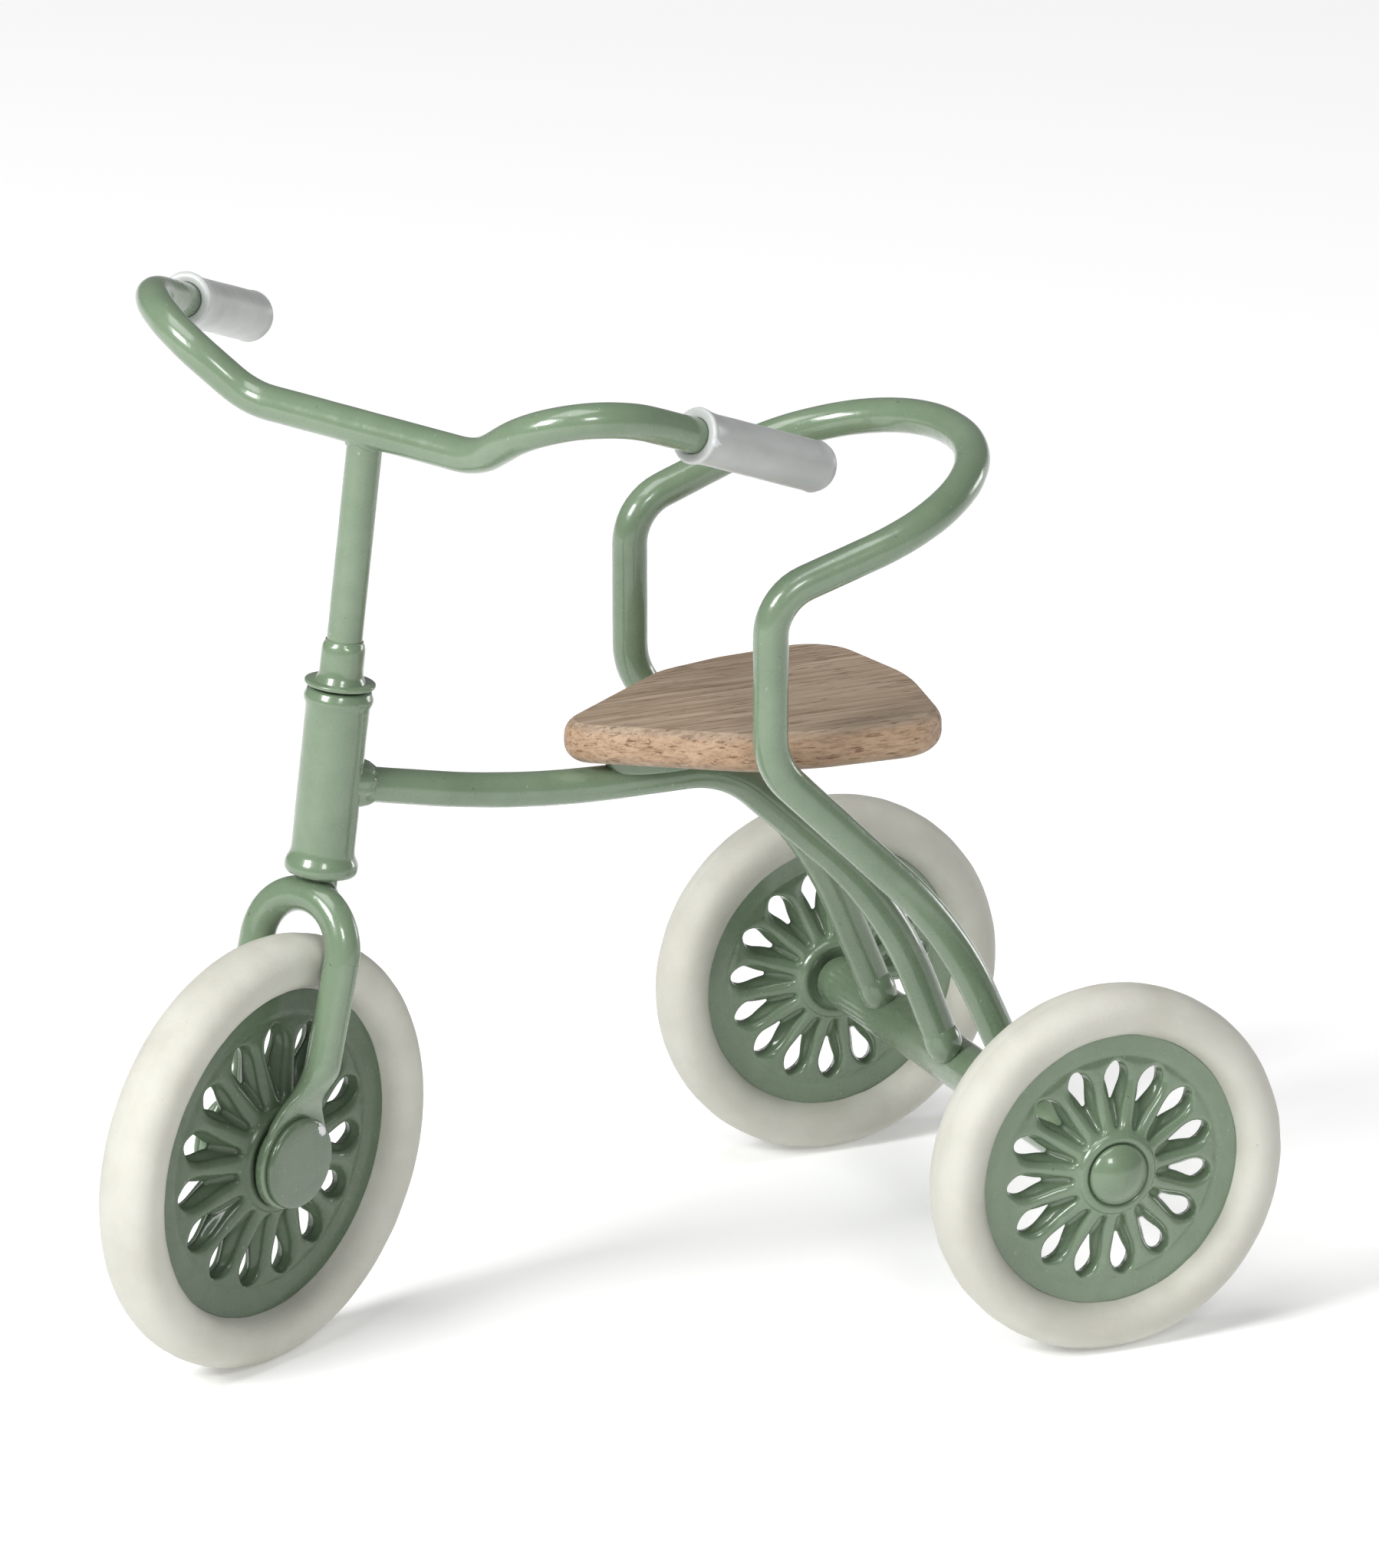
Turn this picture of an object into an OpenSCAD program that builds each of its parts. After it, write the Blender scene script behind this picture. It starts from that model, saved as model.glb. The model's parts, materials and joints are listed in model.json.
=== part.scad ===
// Doll-size tricycle: bent-rod frame, pressed slotted wheels, wooden seat.
// Millimetres. +Z up, front towards -Y, +X is the rider's left.
// Origin: floor level, straight below the middle of the rear axle.

/* [Wheels] */
// Outside diameter of a rear tyre
rear_tyre_d = 35; // [30:0.5:42]
// Outside diameter of the front tyre
front_tyre_d = 41.2; // [36:0.2:50]
// Height of a rear tyre from its wheel disc to its tread
rear_tyre_h = 4.5; // [3.6:0.1:6]
// Height of the front tyre from its wheel disc to its tread
front_tyre_h = 4.9; // [3.8:0.1:6.5]
// Width of every tyre across its shoulders
tyre_w = 6.3; // [5:0.1:6.4]
// Distance between the middle planes of the two rear wheels
track = 60.6; // [50:0.2:76]
// Teardrop slots in one wheel disc
slot_count = 15; // [9:1:18]
// Sheet thickness of a pressed wheel disc
disc_sheet = 0.5; // [0.4:0.05:0.7]
// Half of the gap between the two discs at the rim, filled by the tyre's inner web
rim_gap = 0.45; // [0.3:0.05:0.7]
// Depth of the hub ring inside the tyre's shoulders
hub_inset = 0.45; // [0.35:0.05:0.75]
// Clearance on radius between a hub cap and the hub ring around it
cap_clear = 0.1; // [0.05:0.05:0.3]
// Width of the raised hub ring
ring_w = 0.7; // [0.6:0.05:1]
// Outside radius of the raised hub ring on the front wheel
front_ring_r = 5; // [4.4:0.1:5.6]
// Radius of the hub sleeve the discs are pressed onto
sleeve_r = 1.9; // [1.7:0.05:2.2]
// Radius of the wheel axles
axle_r = 1.2; // [1:0.05:1.4]
// Running clearance on radius between a sleeve and its axle
axle_clear = 0.06; // [0.03:0.01:0.1]
// Radius of the domed hub cap on a rear wheel
cap_r = 2.9; // [2.5:0.05:3]
// Angle the front wheel is turned on its axle as it stands
front_spin = 5.3; // [-12:0.1:12]
// Angle the left rear wheel is turned on its axle as it stands
left_spin = -3.3; // [-12:0.1:12]
// Height of the domed part of a hub cap
cap_dome = 1.3; // [0.5:0.05:1.6]

/* [Frame] */
// Diameter of the bent rod used for frame, fork and handlebar
rod_d = 3.3; // [2.8:0.05:3.6]
// Distance the steering axis stands ahead of the rear axle, at rear axle height
steer_y = 69.1; // [62:0.1:80]
// Lean of the steering axis from upright, top towards the rear
rake = 6.7; // [3:0.1:12]
// Wall of the bushes inside the head tube
bush_wall = 0.65; // [0.5:0.05:1]
// Gap along the steering axis between the fork's arch and the head tube
head_gap = 0.35; // [0.15:0.05:1]
// Length of the head tube
head_len = 17.6; // [13:0.1:19]
// Height of the rolled bead at the foot of the head tube
bead_h = 0.45; // [0.2:0.05:0.8]
// Wall between the head tube's outside and its bushes
head_wall = 0.6; // [0.4:0.05:0.8]
// Running clearance on radius between the steering stem and its bushes
stem_clear = 0.05; // [0.03:0.01:0.1]
// Length of each head bush
bush_len = 5; // [3:0.5:8]
// Radius of the rear axle housing
housing_r = 2.4; // [2.1:0.05:2.8]
// Gap along the axle between a wheel hub and whatever holds it
side_gap = 0.2; // [0.1:0.05:0.4]
// Height of the main tube above the rear axle under the seat
tube_z = 33.3; // [30:0.1:38]
// Length of the main tube's gentle front bend to each side of its corner
tube_bow = 10; // [4:0.5:12]
// Height of the main tube's front end above the foot of the head tube
tube_join = 8.4; // [4:0.1:12]
// Gap between the seat's edge and each backrest leg
leg_gap = 0.55; // [0.3:0.05:2]
// Half of the distance between the backrest legs where they meet the axle housing
leg_low_x = 16; // [14:0.1:18]
// Distance of the backrest legs ahead of the rear axle, beside the seat
leg_y = 27.4; // [24:0.1:30]
// Height of the backrest hoop's front corner above the rear axle
hoop_z = 54.4; // [48:0.1:62]
// Rise of the hoop from its front corner to its back
hoop_rise = 8.6; // [0:0.1:14]
// Half of the hoop's widest span
hoop_x = 17.4; // [15:0.1:22]
// Distance of the hoop's back ahead of the rear axle
hoop_y = 1.5; // [-6:0.1:8]

/* [Seat] */
// Length of the seat board along the tricycle
seat_len = 35.4; // [30:0.2:40]
// Widest span of the seat board
seat_w = 26.6; // [20:0.2:27]
// Thickness of the seat board
seat_t = 3.7; // [3:0.1:5]
// Distance of the seat's rear edge ahead of the rear axle
seat_back_y = 5.5; // [4:0.1:10]
// Radius of the seat's nose
nose_r = 3; // [2:0.1:4]
// Radius of the seat's rear corners
corner_r = 5.6; // [4:0.1:7]
// Width of the bevel that rounds the seat's edges
seat_bevel = 0.8; // [0.4:0.1:1.2]
// Thickness of the saddle plate between main tube and seat
plate_t = 1.1; // [0.8:0.1:2]
// Width of the saddle plate
plate_w = 4.6; // [4:0.2:12]
// Length of the saddle plate
plate_len = 13; // [8:0.2:16]

/* [Steering] */
// Angle the steering is turned as it stands, towards the rider's right-hand side
steer = 25.9; // [0:0.1:26]
// Distance the front axle stands ahead of the steering axis
fork_offset = 4.2; // [2:0.1:7]
// Distance the fork's arch stands ahead of the steering axis
arch_offset = 1.3; // [0:0.1:2]
// Gap between the top of the front tyre and the fork's arch
arch_gap = 1.55; // [1.2:0.05:3]
// Gap between the front tyre's flank and each fork leg
fork_gap = 0.3; // [0.3:0.05:1.5]
// Radius of the flattened eye at the end of a fork leg
eye_r = 4.6; // [4.4:0.1:5.2]
// Thickness of the flattened eye
eye_t = 1.1; // [0.9:0.05:1.3]
// Radius of the button heads on the front axle
button_r = 4.35; // [3.6:0.05:4.6]
// Thickness of a button head
button_t = 0.9; // [0.7:0.05:1.3]
// Rise of the handlebar's straight middle above the head tube
bar_up = 24.7; // [18:0.1:34]
// Angle the handlebar is twisted past the front wheel
bar_yaw = 5.7; // [0:0.1:8]
// Half length of the handlebar's straight middle
bar_mid = 12.7; // [10:0.1:16]
// Half span of the handlebar at its outer bends
bar_bend_x = 25.2; // [22:0.1:30]
// Rise of the outer bends above the straight middle
bar_rise = 8.7; // [4:0.1:12]
// Distance the outer bends reach forward of the middle
bar_fwd = 4.8; // [0:0.1:8]
// Half span of the handlebar at the ends of its grips
bar_end_x = 32; // [28:0.1:38]
// Distance the grip ends reach back from the steering axis
bar_end_y = 27.6; // [22:0.1:34]
// Height of the grip ends against the straight middle
bar_end_z = -0.8; // [-6:0.1:6]
// Wall of a grip
grip_wall = 0.75; // [0.5:0.05:1.2]
// Length of a grip
grip_len = 18.2; // [12:0.2:22]
// Clearance on radius between a grip and the bar inside it
grip_clear = 0.03; // [0.02:0.01:0.05]
// Width of the washer above the head tube, from the stem to its rim
washer_w = 1.65; // [1.3:0.05:2]
// Thickness of that washer
washer_t = 0.4; // [0.3:0.05:0.6]
// Length of the ferrule above the washer
ferrule_len = 3.9; // [2.5:0.1:5]
// Wall of the ferrule
ferrule_wall = 0.55; // [0.45:0.05:1]

// Length over which a fork leg slants into its flattened neck
flat_len = 7; // [4:0.5:9]

/* [Hidden] */
$fn = 72;

green = [0.55, 0.64, 0.52];
cream = [0.90, 0.89, 0.84];
beech = [0.66, 0.53, 0.40];
clear_grey = [0.68, 0.69, 0.68];
steel = [0.6, 0.6, 0.58];

hub_h = tyre_w / 2 - hub_inset;
axle_z = rear_tyre_d / 2;
rod_r = rod_d / 2;
rear_disc_d = rear_tyre_d - 2 * rear_tyre_h;
front_disc_d = front_tyre_d - 2 * front_tyre_h;
rear_ring_r = cap_r + cap_clear + ring_w;
arch_h = front_tyre_d - axle_z + arch_gap + rod_r;
head_low = arch_h + rod_r + head_gap;
head_high = head_low + head_len;
bar_h = head_high + bar_up;
fork_x = tyre_w / 2 + rod_r + fork_gap;
leg_x = seat_w / 2 + rod_r + leg_gap;
head_r = rod_r + stem_clear + bush_wall + head_wall;
bush_r = head_r - head_wall;
bead_r = head_r + bead_h;
washer_r = rod_r + washer_w;
ferrule_r = rod_r + ferrule_wall;
grip_r = rod_r + grip_wall;
// Height of the front axle along the steering axis, so that the front tyre stands on the floor
axle_h = (front_tyre_d / 2 - axle_z - fork_offset * cos(steer) * sin(rake)) / cos(rake);
housing_half = track / 2 - hub_h - side_gap;
eye_in = hub_h + side_gap;
eye_out = eye_in + eye_t;
seat_z = tube_z + rod_r + plate_t + axle_z;
hub_step = 0.4;
slack = 0.03;
// Straights run this far into the bends, and a bend is this much thinner
lap = 0.1;
collar_wall = 0.4;
bend_thin = 0.015;

// ---- vector helpers
function unit(v) = v / norm(v);
function side_of(v) = abs(v[2]) < 0.9 ? unit(cross([0, 0, 1], v)) : unit(cross([1, 0, 0], v));
function half_corner(p, i) = acos(unit(p[i - 1] - p[i]) * unit(p[i + 1] - p[i])) / 2;
function reach(p, r, i) = (i == 0 || i == len(p) - 1) ? 0 : r[i] / tan(half_corner(p, i));
function mirror_x(p) = [for (i = [len(p) - 1:-1:0]) [-p[i][0], p[i][1], p[i][2]]];
function backwards(r) = [for (i = [len(r) - 1:-1:0]) r[i]];

module frame_at(o, x, y, z)
    multmatrix([[x[0], y[0], z[0], o[0]], [x[1], y[1], z[1], o[1]], [x[2], y[2], z[2], o[2]], [0, 0, 0, 1]])
        children();

module bar_between(a, b, r) {
    z = unit(b - a);
    x = side_of(z);
    frame_at(a, x, cross(z, x), z) cylinder(r = r, h = norm(b - a));
}

// Round rod along the corners p, each corner bent to the radius r[i]
module bent_rod(p, r, rr) {
    for (i = [0:len(p) - 2]) {
        d = unit(p[i + 1] - p[i]);
        bar_between(p[i] + d * (reach(p, r, i) - (i > 0 ? lap : 0)),
            p[i + 1] - d * (reach(p, r, i + 1) - (i < len(p) - 2 ? lap : 0)), rr);
    }
    for (i = [1:len(p) - 2]) {
        a = unit(p[i - 1] - p[i]);
        b = unit(p[i + 1] - p[i]);
        h = half_corner(p, i);
        c = p[i] + unit(a + b) * r[i] / sin(h);
        x = unit(p[i] + a * reach(p, r, i) - c);
        z = unit(cross(x, p[i] + b * reach(p, r, i) - c));
        frame_at(c, x, cross(z, x), z)
            rotate_extrude(angle = 180 - 2 * h) translate([r[i], 0]) circle(r = rr - bend_thin);
    }
}

module at_steering() translate([0, -steer_y, axle_z]) rotate([-rake, 0, 0]) children();
module steered() at_steering() rotate([0, 0, steer]) children();
module at_front_wheel() steered() translate([0, -fork_offset, axle_h]) rotate([0, 90, 0]) rotate([0, 0, front_spin]) children();
module at_rear_wheel(side) translate([side * track / 2, 0, axle_z]) rotate([0, side * 90, 0])
    rotate([0, 0, side > 0 ? left_spin : 0]) children();
module rear_line(r, half) translate([-half, 0, axle_z]) rotate([0, 90, 0]) cylinder(r = r, h = 2 * half);

// ---- wheels, made about +Z with the outer face up
// One teardrop slot: small round end by the hub, large round end by the rim
module slot_2d(r_small, c_small, r_big, c_big) {
    lean = asin((r_big - r_small) / (c_big - c_small));
    translate([c_small, 0]) circle(r = r_small);
    translate([c_big, 0]) circle(r = r_big);
    polygon([
        [c_small - r_small * sin(lean), r_small * cos(lean)],
        [c_big - r_big * sin(lean), r_big * cos(lean)],
        [c_big - r_big * sin(lean), -r_big * cos(lean)],
        [c_small - r_small * sin(lean), -r_small * cos(lean)]]);
}

// Pressed dish: flat rim, arched spokes, raised hub ring with a recess for the cap
module disc(r, ring) {
    rim = rim_gap + disc_sheet;
    crease = 0.82 * r;
    difference() {
        rotate_extrude()
            polygon([
                [sleeve_r, hub_h - hub_step], [ring - ring_w, hub_h - hub_step], [ring - ring_w + 0.15, hub_h],
                [ring - 0.1, hub_h], [ring + 0.25, hub_h - 0.35],
                [ring + 0.3 * (crease - ring), rim + 0.55 * (hub_h - 0.35 - rim)],
                [ring + 0.65 * (crease - ring), rim + 0.28 * (hub_h - 0.35 - rim)],
                [crease, rim + 0.12], [crease + 0.3, rim], [r, rim],
                [r, rim_gap], [crease, rim_gap],
                [ring + 0.65 * (crease - ring), rim - disc_sheet + 0.28 * (hub_h - 0.35 - rim)],
                [ring + 0.3 * (crease - ring), rim - disc_sheet + 0.55 * (hub_h - 0.35 - rim)],
                [ring - 0.1, hub_h - disc_sheet - 0.5], [sleeve_r, hub_h - disc_sheet - 0.5]]);
        for (i = [0:slot_count - 1])
            rotate([0, 0, (i + 0.5) * 360 / slot_count])
                translate([0, 0, -1]) linear_extrude(height = hub_h + 2)
                    slot_2d(0.024 * r, ring + 0.1 * r, 0.074 * r, 0.736 * r);
    }
}

// Rubber ring of rounded section with a thin web held between the two discs
module tyre(r, disc_r) {
    rim = rim_gap + disc_sheet;
    half = tyre_w / 2;
    a = (r - disc_r) / 2;
    function swell(v) = sign(v) * pow(abs(v), 0.87);
    flank = [for (t = [162:-12:18]) [r - a + a * swell(cos(t)), half * swell(sin(t))]];
    n = len(flank) - 1;
    rotate_extrude()
        polygon(concat(
            [[disc_r - 1.5, -rim_gap + slack], [disc_r + slack, -rim_gap + slack], [disc_r + slack, -rim]],
            [for (i = [0:n]) [flank[i][0], -flank[i][1]]],
            [[r, -0.4], [r, 0.4]],
            [for (i = [n:-1:0]) flank[i]],
            [[disc_r + slack, rim], [disc_r + slack, rim_gap - slack], [disc_r - 1.5, rim_gap - slack]]));
}

module sleeve() difference() {
    translate([0, 0, -(hub_h - hub_step)]) cylinder(r = sleeve_r, h = 2 * (hub_h - hub_step));
    translate([0, 0, -5]) cylinder(r = axle_r + axle_clear, h = 10);
}

// Domed cap that closes the axle end and keeps a rear wheel on
module cap() {
    foot = hub_h - hub_step + side_gap;
    dome_r = (cap_r * cap_r + cap_dome * cap_dome) / (2 * cap_dome);
    a = asin(cap_r / dome_r);
    rotate_extrude()
        polygon(concat([[0, foot], [cap_r, foot]],
            [for (i = [0:8]) [dome_r * sin(a * (1 - i / 8)), foot + 0.3 + cap_dome - dome_r * (1 - cos(a * (1 - i / 8)))]]));
}

// ---- frame
module head_tube() color(green) at_steering() difference() {
    rotate_extrude()
        polygon([
            [0, head_low], [bead_r - 0.35, head_low], [bead_r, head_low + 0.4], [bead_r, head_low + 1.1],
            [head_r + 0.1, head_low + 1.7], [head_r, head_low + 2.2],
            [head_r, head_high - 1.5], [head_r + 0.25, head_high - 1.2], [head_r + 0.25, head_high - 0.7],
            [head_r, head_high - 0.4], [head_r, head_high], [0, head_high]]);
    translate([0, 0, head_low - 1]) cylinder(r = bush_r, h = head_high - head_low + 2);
}

module bush(z) at_steering() difference() {
    translate([0, 0, z]) cylinder(r = bush_r, h = bush_len);
    translate([0, 0, z - 1]) cylinder(r = rod_r + stem_clear, h = bush_len + 2);
}
module head_bush_lower() color(steel) bush(head_low + 0.1);
module head_bush_upper() color(steel) bush(head_high - bush_len - 0.1);

function tube_line() = [
    [0, -steer_y + 4.3, head_low + tube_join + axle_z],
    [0, -45, tube_z + axle_z],
    [0, -24.8, tube_z + axle_z],
    [0, -7.9, tube_z - 15.7 + axle_z],
    [0, -1.3, 0.6 + axle_z]];
function tube_bends() = [0, tube_bow * tan(half_corner(tube_line(), 1)), 10, 40, 0];

module main_tube() color(green) difference() {
    bent_rod(tube_line(), tube_bends(), rod_r);
    at_steering() cylinder(r = head_r, h = 80);
    rear_line(housing_r, 40);
}

// Weld collar where the main tube meets the head tube
module head_collar() color(green) difference() {
    a = tube_line()[0];
    d = unit(tube_line()[1] - a);
    bar_between(a, a + d * 4.1, rod_r + collar_wall);
    bar_between(a - d, a + d * 9, rod_r);
    at_steering() cylinder(r = head_r, h = 80);
}

function half_loop() = [
    [leg_low_x, -0.5, 0.7 + axle_z],
    [leg_low_x - 0.8, -8.55, tube_z - 13.9 + axle_z],
    [leg_x, -leg_y, tube_z + 4.9 + axle_z],
    [leg_x + 0.1, -leg_y, hoop_z + axle_z],
    [hoop_x, -hoop_y, hoop_z + hoop_rise + axle_z]];

module backrest_loop() color(green) difference() {
    bent_rod(concat(half_loop(), mirror_x(half_loop())), [0, 40, 7, 5, 16, 16, 5, 7, 40, 0], rod_r);
    rear_line(housing_r, 40);
}

module rear_axle_housing() color(green) difference() {
    rear_line(housing_r, housing_half);
    rear_line(axle_r + slack, 60);
}
module rear_axle() color(steel) rear_line(axle_r, track / 2 + hub_h - hub_step + side_gap);
module rear_cap_left() color(green) at_rear_wheel(1) cap();
module rear_cap_right() color(green) at_rear_wheel(-1) cap();

// ---- seat
module seat_2d(inset) {
    hull() {
        translate([0, -seat_back_y - seat_len + nose_r]) circle(r = nose_r - inset);
        for (s = [-1, 1]) {
            translate([s * (seat_w / 2 - corner_r), -seat_back_y - corner_r - 1.3]) circle(r = corner_r - inset);
            translate([s * (seat_w / 2 - 10.4), -seat_back_y - 17.9]) circle(r = 9 - inset);
        }
        translate([0, -seat_back_y - 12.9]) circle(r = 12.9 - inset);
    }
}
module seat_board() color(beech) translate([0, 0, seat_z]) hull() {
    translate([0, 0, 0]) linear_extrude(height = 0.1) seat_2d(seat_bevel);
    translate([0, 0, seat_bevel]) linear_extrude(height = seat_t - 2 * seat_bevel) seat_2d(0);
    translate([0, 0, seat_t - 0.1]) linear_extrude(height = 0.1) seat_2d(seat_bevel);
}
module seat_plate() color(green) difference() {
    translate([-plate_w / 2, -37, seat_z - plate_t - 1]) cube([plate_w, plate_len, plate_t + 1]);
    bent_rod(tube_line(), tube_bends(), rod_r);
}

// ---- steering
module steering_stem() color(green) steered() difference() {
    translate([0, 0, arch_h - 0.8]) cylinder(r = rod_r, h = bar_h - arch_h + 0.8);
    rotate([0, 0, bar_yaw]) bar_core(rod_r);
    fork_arch_core(rod_r);
}

// The fork's bent rod: a half-circle arch on two legs that lean forward to the axle
function fork_lean() = atan((fork_offset - arch_offset) / (arch_h - axle_h));
function leg_len() = (arch_h - axle_h) / cos(fork_lean()) - fork_x;
module fork_plane() translate([0, -fork_offset, axle_h]) rotate([-fork_lean(), 0, 0]) children();
module fork_arch_core(r) fork_plane() translate([0, 0, leg_len()]) rotate([90, 0, 0])
    rotate_extrude(angle = 180) translate([fork_x, 0]) circle(r = r);
// One leg: round rod that slants into a flattened neck with a round eye
module fork_side() {
    difference() {
        translate([fork_x, 0, eye_r - 0.3]) cylinder(r = rod_r, h = leg_len() - eye_r + 0.3);
        translate([eye_out, 0, eye_r - 0.3]) rotate([0, atan((fork_x + rod_r - eye_out) / flat_len), 0])
            translate([0, -5, -8]) cube([8, 10, 24]);
    }
    translate([eye_in, 0, 0]) rotate([0, 90, 0]) {
        cylinder(r = eye_r, h = eye_t);
        linear_extrude(height = eye_t)
            polygon([[-eye_r - 5, rod_r - 0.15], [-0.6 * eye_r, 0.8 * eye_r], [-0.6 * eye_r, -0.8 * eye_r], [-eye_r - 5, 0.15 - rod_r]]);
    }
}
module fork() color(green) steered() fork_plane() difference() {
    union() {
        fork_side();
        mirror([1, 0, 0]) fork_side();
        translate([0, 0, leg_len()]) rotate([90, 0, 0]) rotate_extrude(angle = 180) translate([fork_x, 0]) circle(r = rod_r);
    }
    rotate([0, 90, 0]) cylinder(r = axle_r + slack, h = 30, center = true);
}
module stem_washer() color(green) steered() difference() {
    translate([0, 0, head_high + 0.3]) cylinder(r = washer_r, h = washer_t);
    translate([0, 0, head_high]) cylinder(r = rod_r + slack, h = 2);
}
module stem_ferrule() color(green) steered() difference() {
    translate([0, 0, head_high + 0.3 + washer_t]) rotate_extrude()
        polygon([[0, 0], [ferrule_r + 0.15, 0], [ferrule_r + 0.15, 0.5], [ferrule_r - 0.1, 0.9],
            [ferrule_r - 0.1, ferrule_len - 0.5], [ferrule_r - 0.4, ferrule_len], [0, ferrule_len]]);
    translate([0, 0, head_high]) cylinder(r = rod_r + slack, h = 8);
}

function half_bar() = [
    [bar_mid, -0.5, bar_h],
    [bar_bend_x, -0.5 - bar_fwd, bar_h + bar_rise],
    [bar_end_x, bar_end_y, bar_h + bar_end_z]];
function grip_dir() = unit(half_bar()[2] - half_bar()[1]);
function bar_tip() = half_bar()[2] - grip_dir() * 1.5;
function bar_line() = [half_bar()[0], half_bar()[1], bar_tip()];
module bar_core(r) bent_rod(concat(mirror_x(bar_line()), bar_line()), [0, 8.2, 6.6, 6.6, 8.2, 0], r);
module handlebar() color(green) steered() rotate([0, 0, bar_yaw]) bar_core(rod_r);

module grip(side) steered() rotate([0, 0, bar_yaw]) {
    e = [side * half_bar()[2][0], half_bar()[2][1], half_bar()[2][2]];
    d = [side * grip_dir()[0], grip_dir()[1], grip_dir()[2]];
    x = side_of(d);
    frame_at(e - d * grip_len, x, cross(d, x), d) difference() {
        rotate_extrude()
            polygon([[0, 0], [grip_r - 0.35, 0], [grip_r, 0.35], [grip_r, grip_len - 1.3],
                [grip_r - 0.12, grip_len - 0.8], [grip_r - 0.45, grip_len - 0.35], [grip_r - 1, grip_len - 0.08], [0, grip_len]]);
        translate([0, 0, -1]) cylinder(r = rod_r + grip_clear, h = grip_len - 0.5 + grip_clear);
    }
}
module grip_left() color(clear_grey) grip(1);
module grip_right() color(clear_grey) grip(-1);

// Front axle pin with a button head on the rider's left, and the second button pressed on
module button_shape() rotate_extrude()
    polygon([[0, 0], [button_r - 0.1, 0], [button_r, 0.15], [button_r, button_t - 0.4],
        [button_r - 0.25, button_t - 0.1], [button_r - 0.7, button_t], [0, button_t]]);
module front_axle() color(green) at_front_wheel() {
    translate([0, 0, eye_out]) button_shape();
    translate([0, 0, -eye_out - 0.4]) cylinder(r = axle_r, h = 2 * eye_out + 0.5);
}
module front_axle_button() color(green) at_front_wheel() difference() {
    translate([0, 0, -eye_out]) mirror([0, 0, 1]) button_shape();
    translate([0, 0, -eye_out - 0.4 - slack]) cylinder(r = axle_r + slack, h = 2);
}

module front_disc_left() color(green) at_front_wheel() disc(front_disc_d / 2, front_ring_r);
module front_disc_right() color(green) at_front_wheel() mirror([0, 0, 1]) disc(front_disc_d / 2, front_ring_r);
module front_sleeve() color(steel) at_front_wheel() sleeve();
module front_tyre() color(cream) at_front_wheel() tyre(front_tyre_d / 2, front_disc_d / 2);

module rear_disc_left_outer() color(green) at_rear_wheel(1) disc(rear_disc_d / 2, rear_ring_r);
module rear_disc_left_inner() color(green) at_rear_wheel(1) mirror([0, 0, 1]) disc(rear_disc_d / 2, rear_ring_r);
module rear_sleeve_left() color(steel) at_rear_wheel(1) sleeve();
module rear_tyre_left() color(cream) at_rear_wheel(1) tyre(rear_tyre_d / 2, rear_disc_d / 2);
module rear_disc_right_outer() color(green) at_rear_wheel(-1) disc(rear_disc_d / 2, rear_ring_r);
module rear_disc_right_inner() color(green) at_rear_wheel(-1) mirror([0, 0, 1]) disc(rear_disc_d / 2, rear_ring_r);
module rear_sleeve_right() color(steel) at_rear_wheel(-1) sleeve();
module rear_tyre_right() color(cream) at_rear_wheel(-1) tyre(rear_tyre_d / 2, rear_disc_d / 2);

head_tube();
head_bush_lower();
head_bush_upper();
main_tube();
head_collar();
backrest_loop();
rear_axle_housing();
rear_axle();
rear_cap_left();
rear_cap_right();
seat_plate();
seat_board();
steering_stem();
fork();
stem_washer();
stem_ferrule();
handlebar();
grip_left();
grip_right();
front_axle();
front_axle_button();
front_disc_left();
front_disc_right();
front_sleeve();
front_tyre();
rear_disc_left_outer();
rear_disc_left_inner();
rear_sleeve_left();
rear_tyre_left();
rear_disc_right_outer();
rear_disc_right_inner();
rear_sleeve_right();
rear_tyre_right();
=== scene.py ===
"""Doll-size tricycle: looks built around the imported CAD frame. Lengths are in mm until they reach a mesh."""

import json
import math

import bmesh
import bpy
from mathutils import Matrix, Vector, noise

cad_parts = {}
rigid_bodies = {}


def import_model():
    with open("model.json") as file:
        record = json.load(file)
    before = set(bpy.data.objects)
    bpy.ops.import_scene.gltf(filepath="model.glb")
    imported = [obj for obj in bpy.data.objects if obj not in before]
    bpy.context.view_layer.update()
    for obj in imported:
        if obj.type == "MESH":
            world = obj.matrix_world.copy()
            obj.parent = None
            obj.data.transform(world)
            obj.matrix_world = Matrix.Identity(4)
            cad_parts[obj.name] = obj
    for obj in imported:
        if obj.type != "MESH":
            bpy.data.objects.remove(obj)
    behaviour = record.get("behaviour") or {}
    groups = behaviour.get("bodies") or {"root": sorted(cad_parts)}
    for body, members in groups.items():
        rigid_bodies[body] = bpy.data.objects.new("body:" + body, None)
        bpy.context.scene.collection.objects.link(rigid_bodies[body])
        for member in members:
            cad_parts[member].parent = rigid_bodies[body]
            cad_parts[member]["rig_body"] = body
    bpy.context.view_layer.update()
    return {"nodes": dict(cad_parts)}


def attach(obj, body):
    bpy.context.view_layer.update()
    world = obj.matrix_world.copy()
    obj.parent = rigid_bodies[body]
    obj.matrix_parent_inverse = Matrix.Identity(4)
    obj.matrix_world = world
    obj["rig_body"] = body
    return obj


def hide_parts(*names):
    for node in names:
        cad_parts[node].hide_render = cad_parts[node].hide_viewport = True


MM = 0.001
MERGE_REACH = 0.0006  # mm

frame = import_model()
nodes = frame["nodes"]

# ------------------------------------------------------------------ camera
CAM_AZ, CAM_EL = math.radians(65.27), math.radians(18.366)
CAM_LENS, CAM_SENSOR = 327.54, 36
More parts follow.
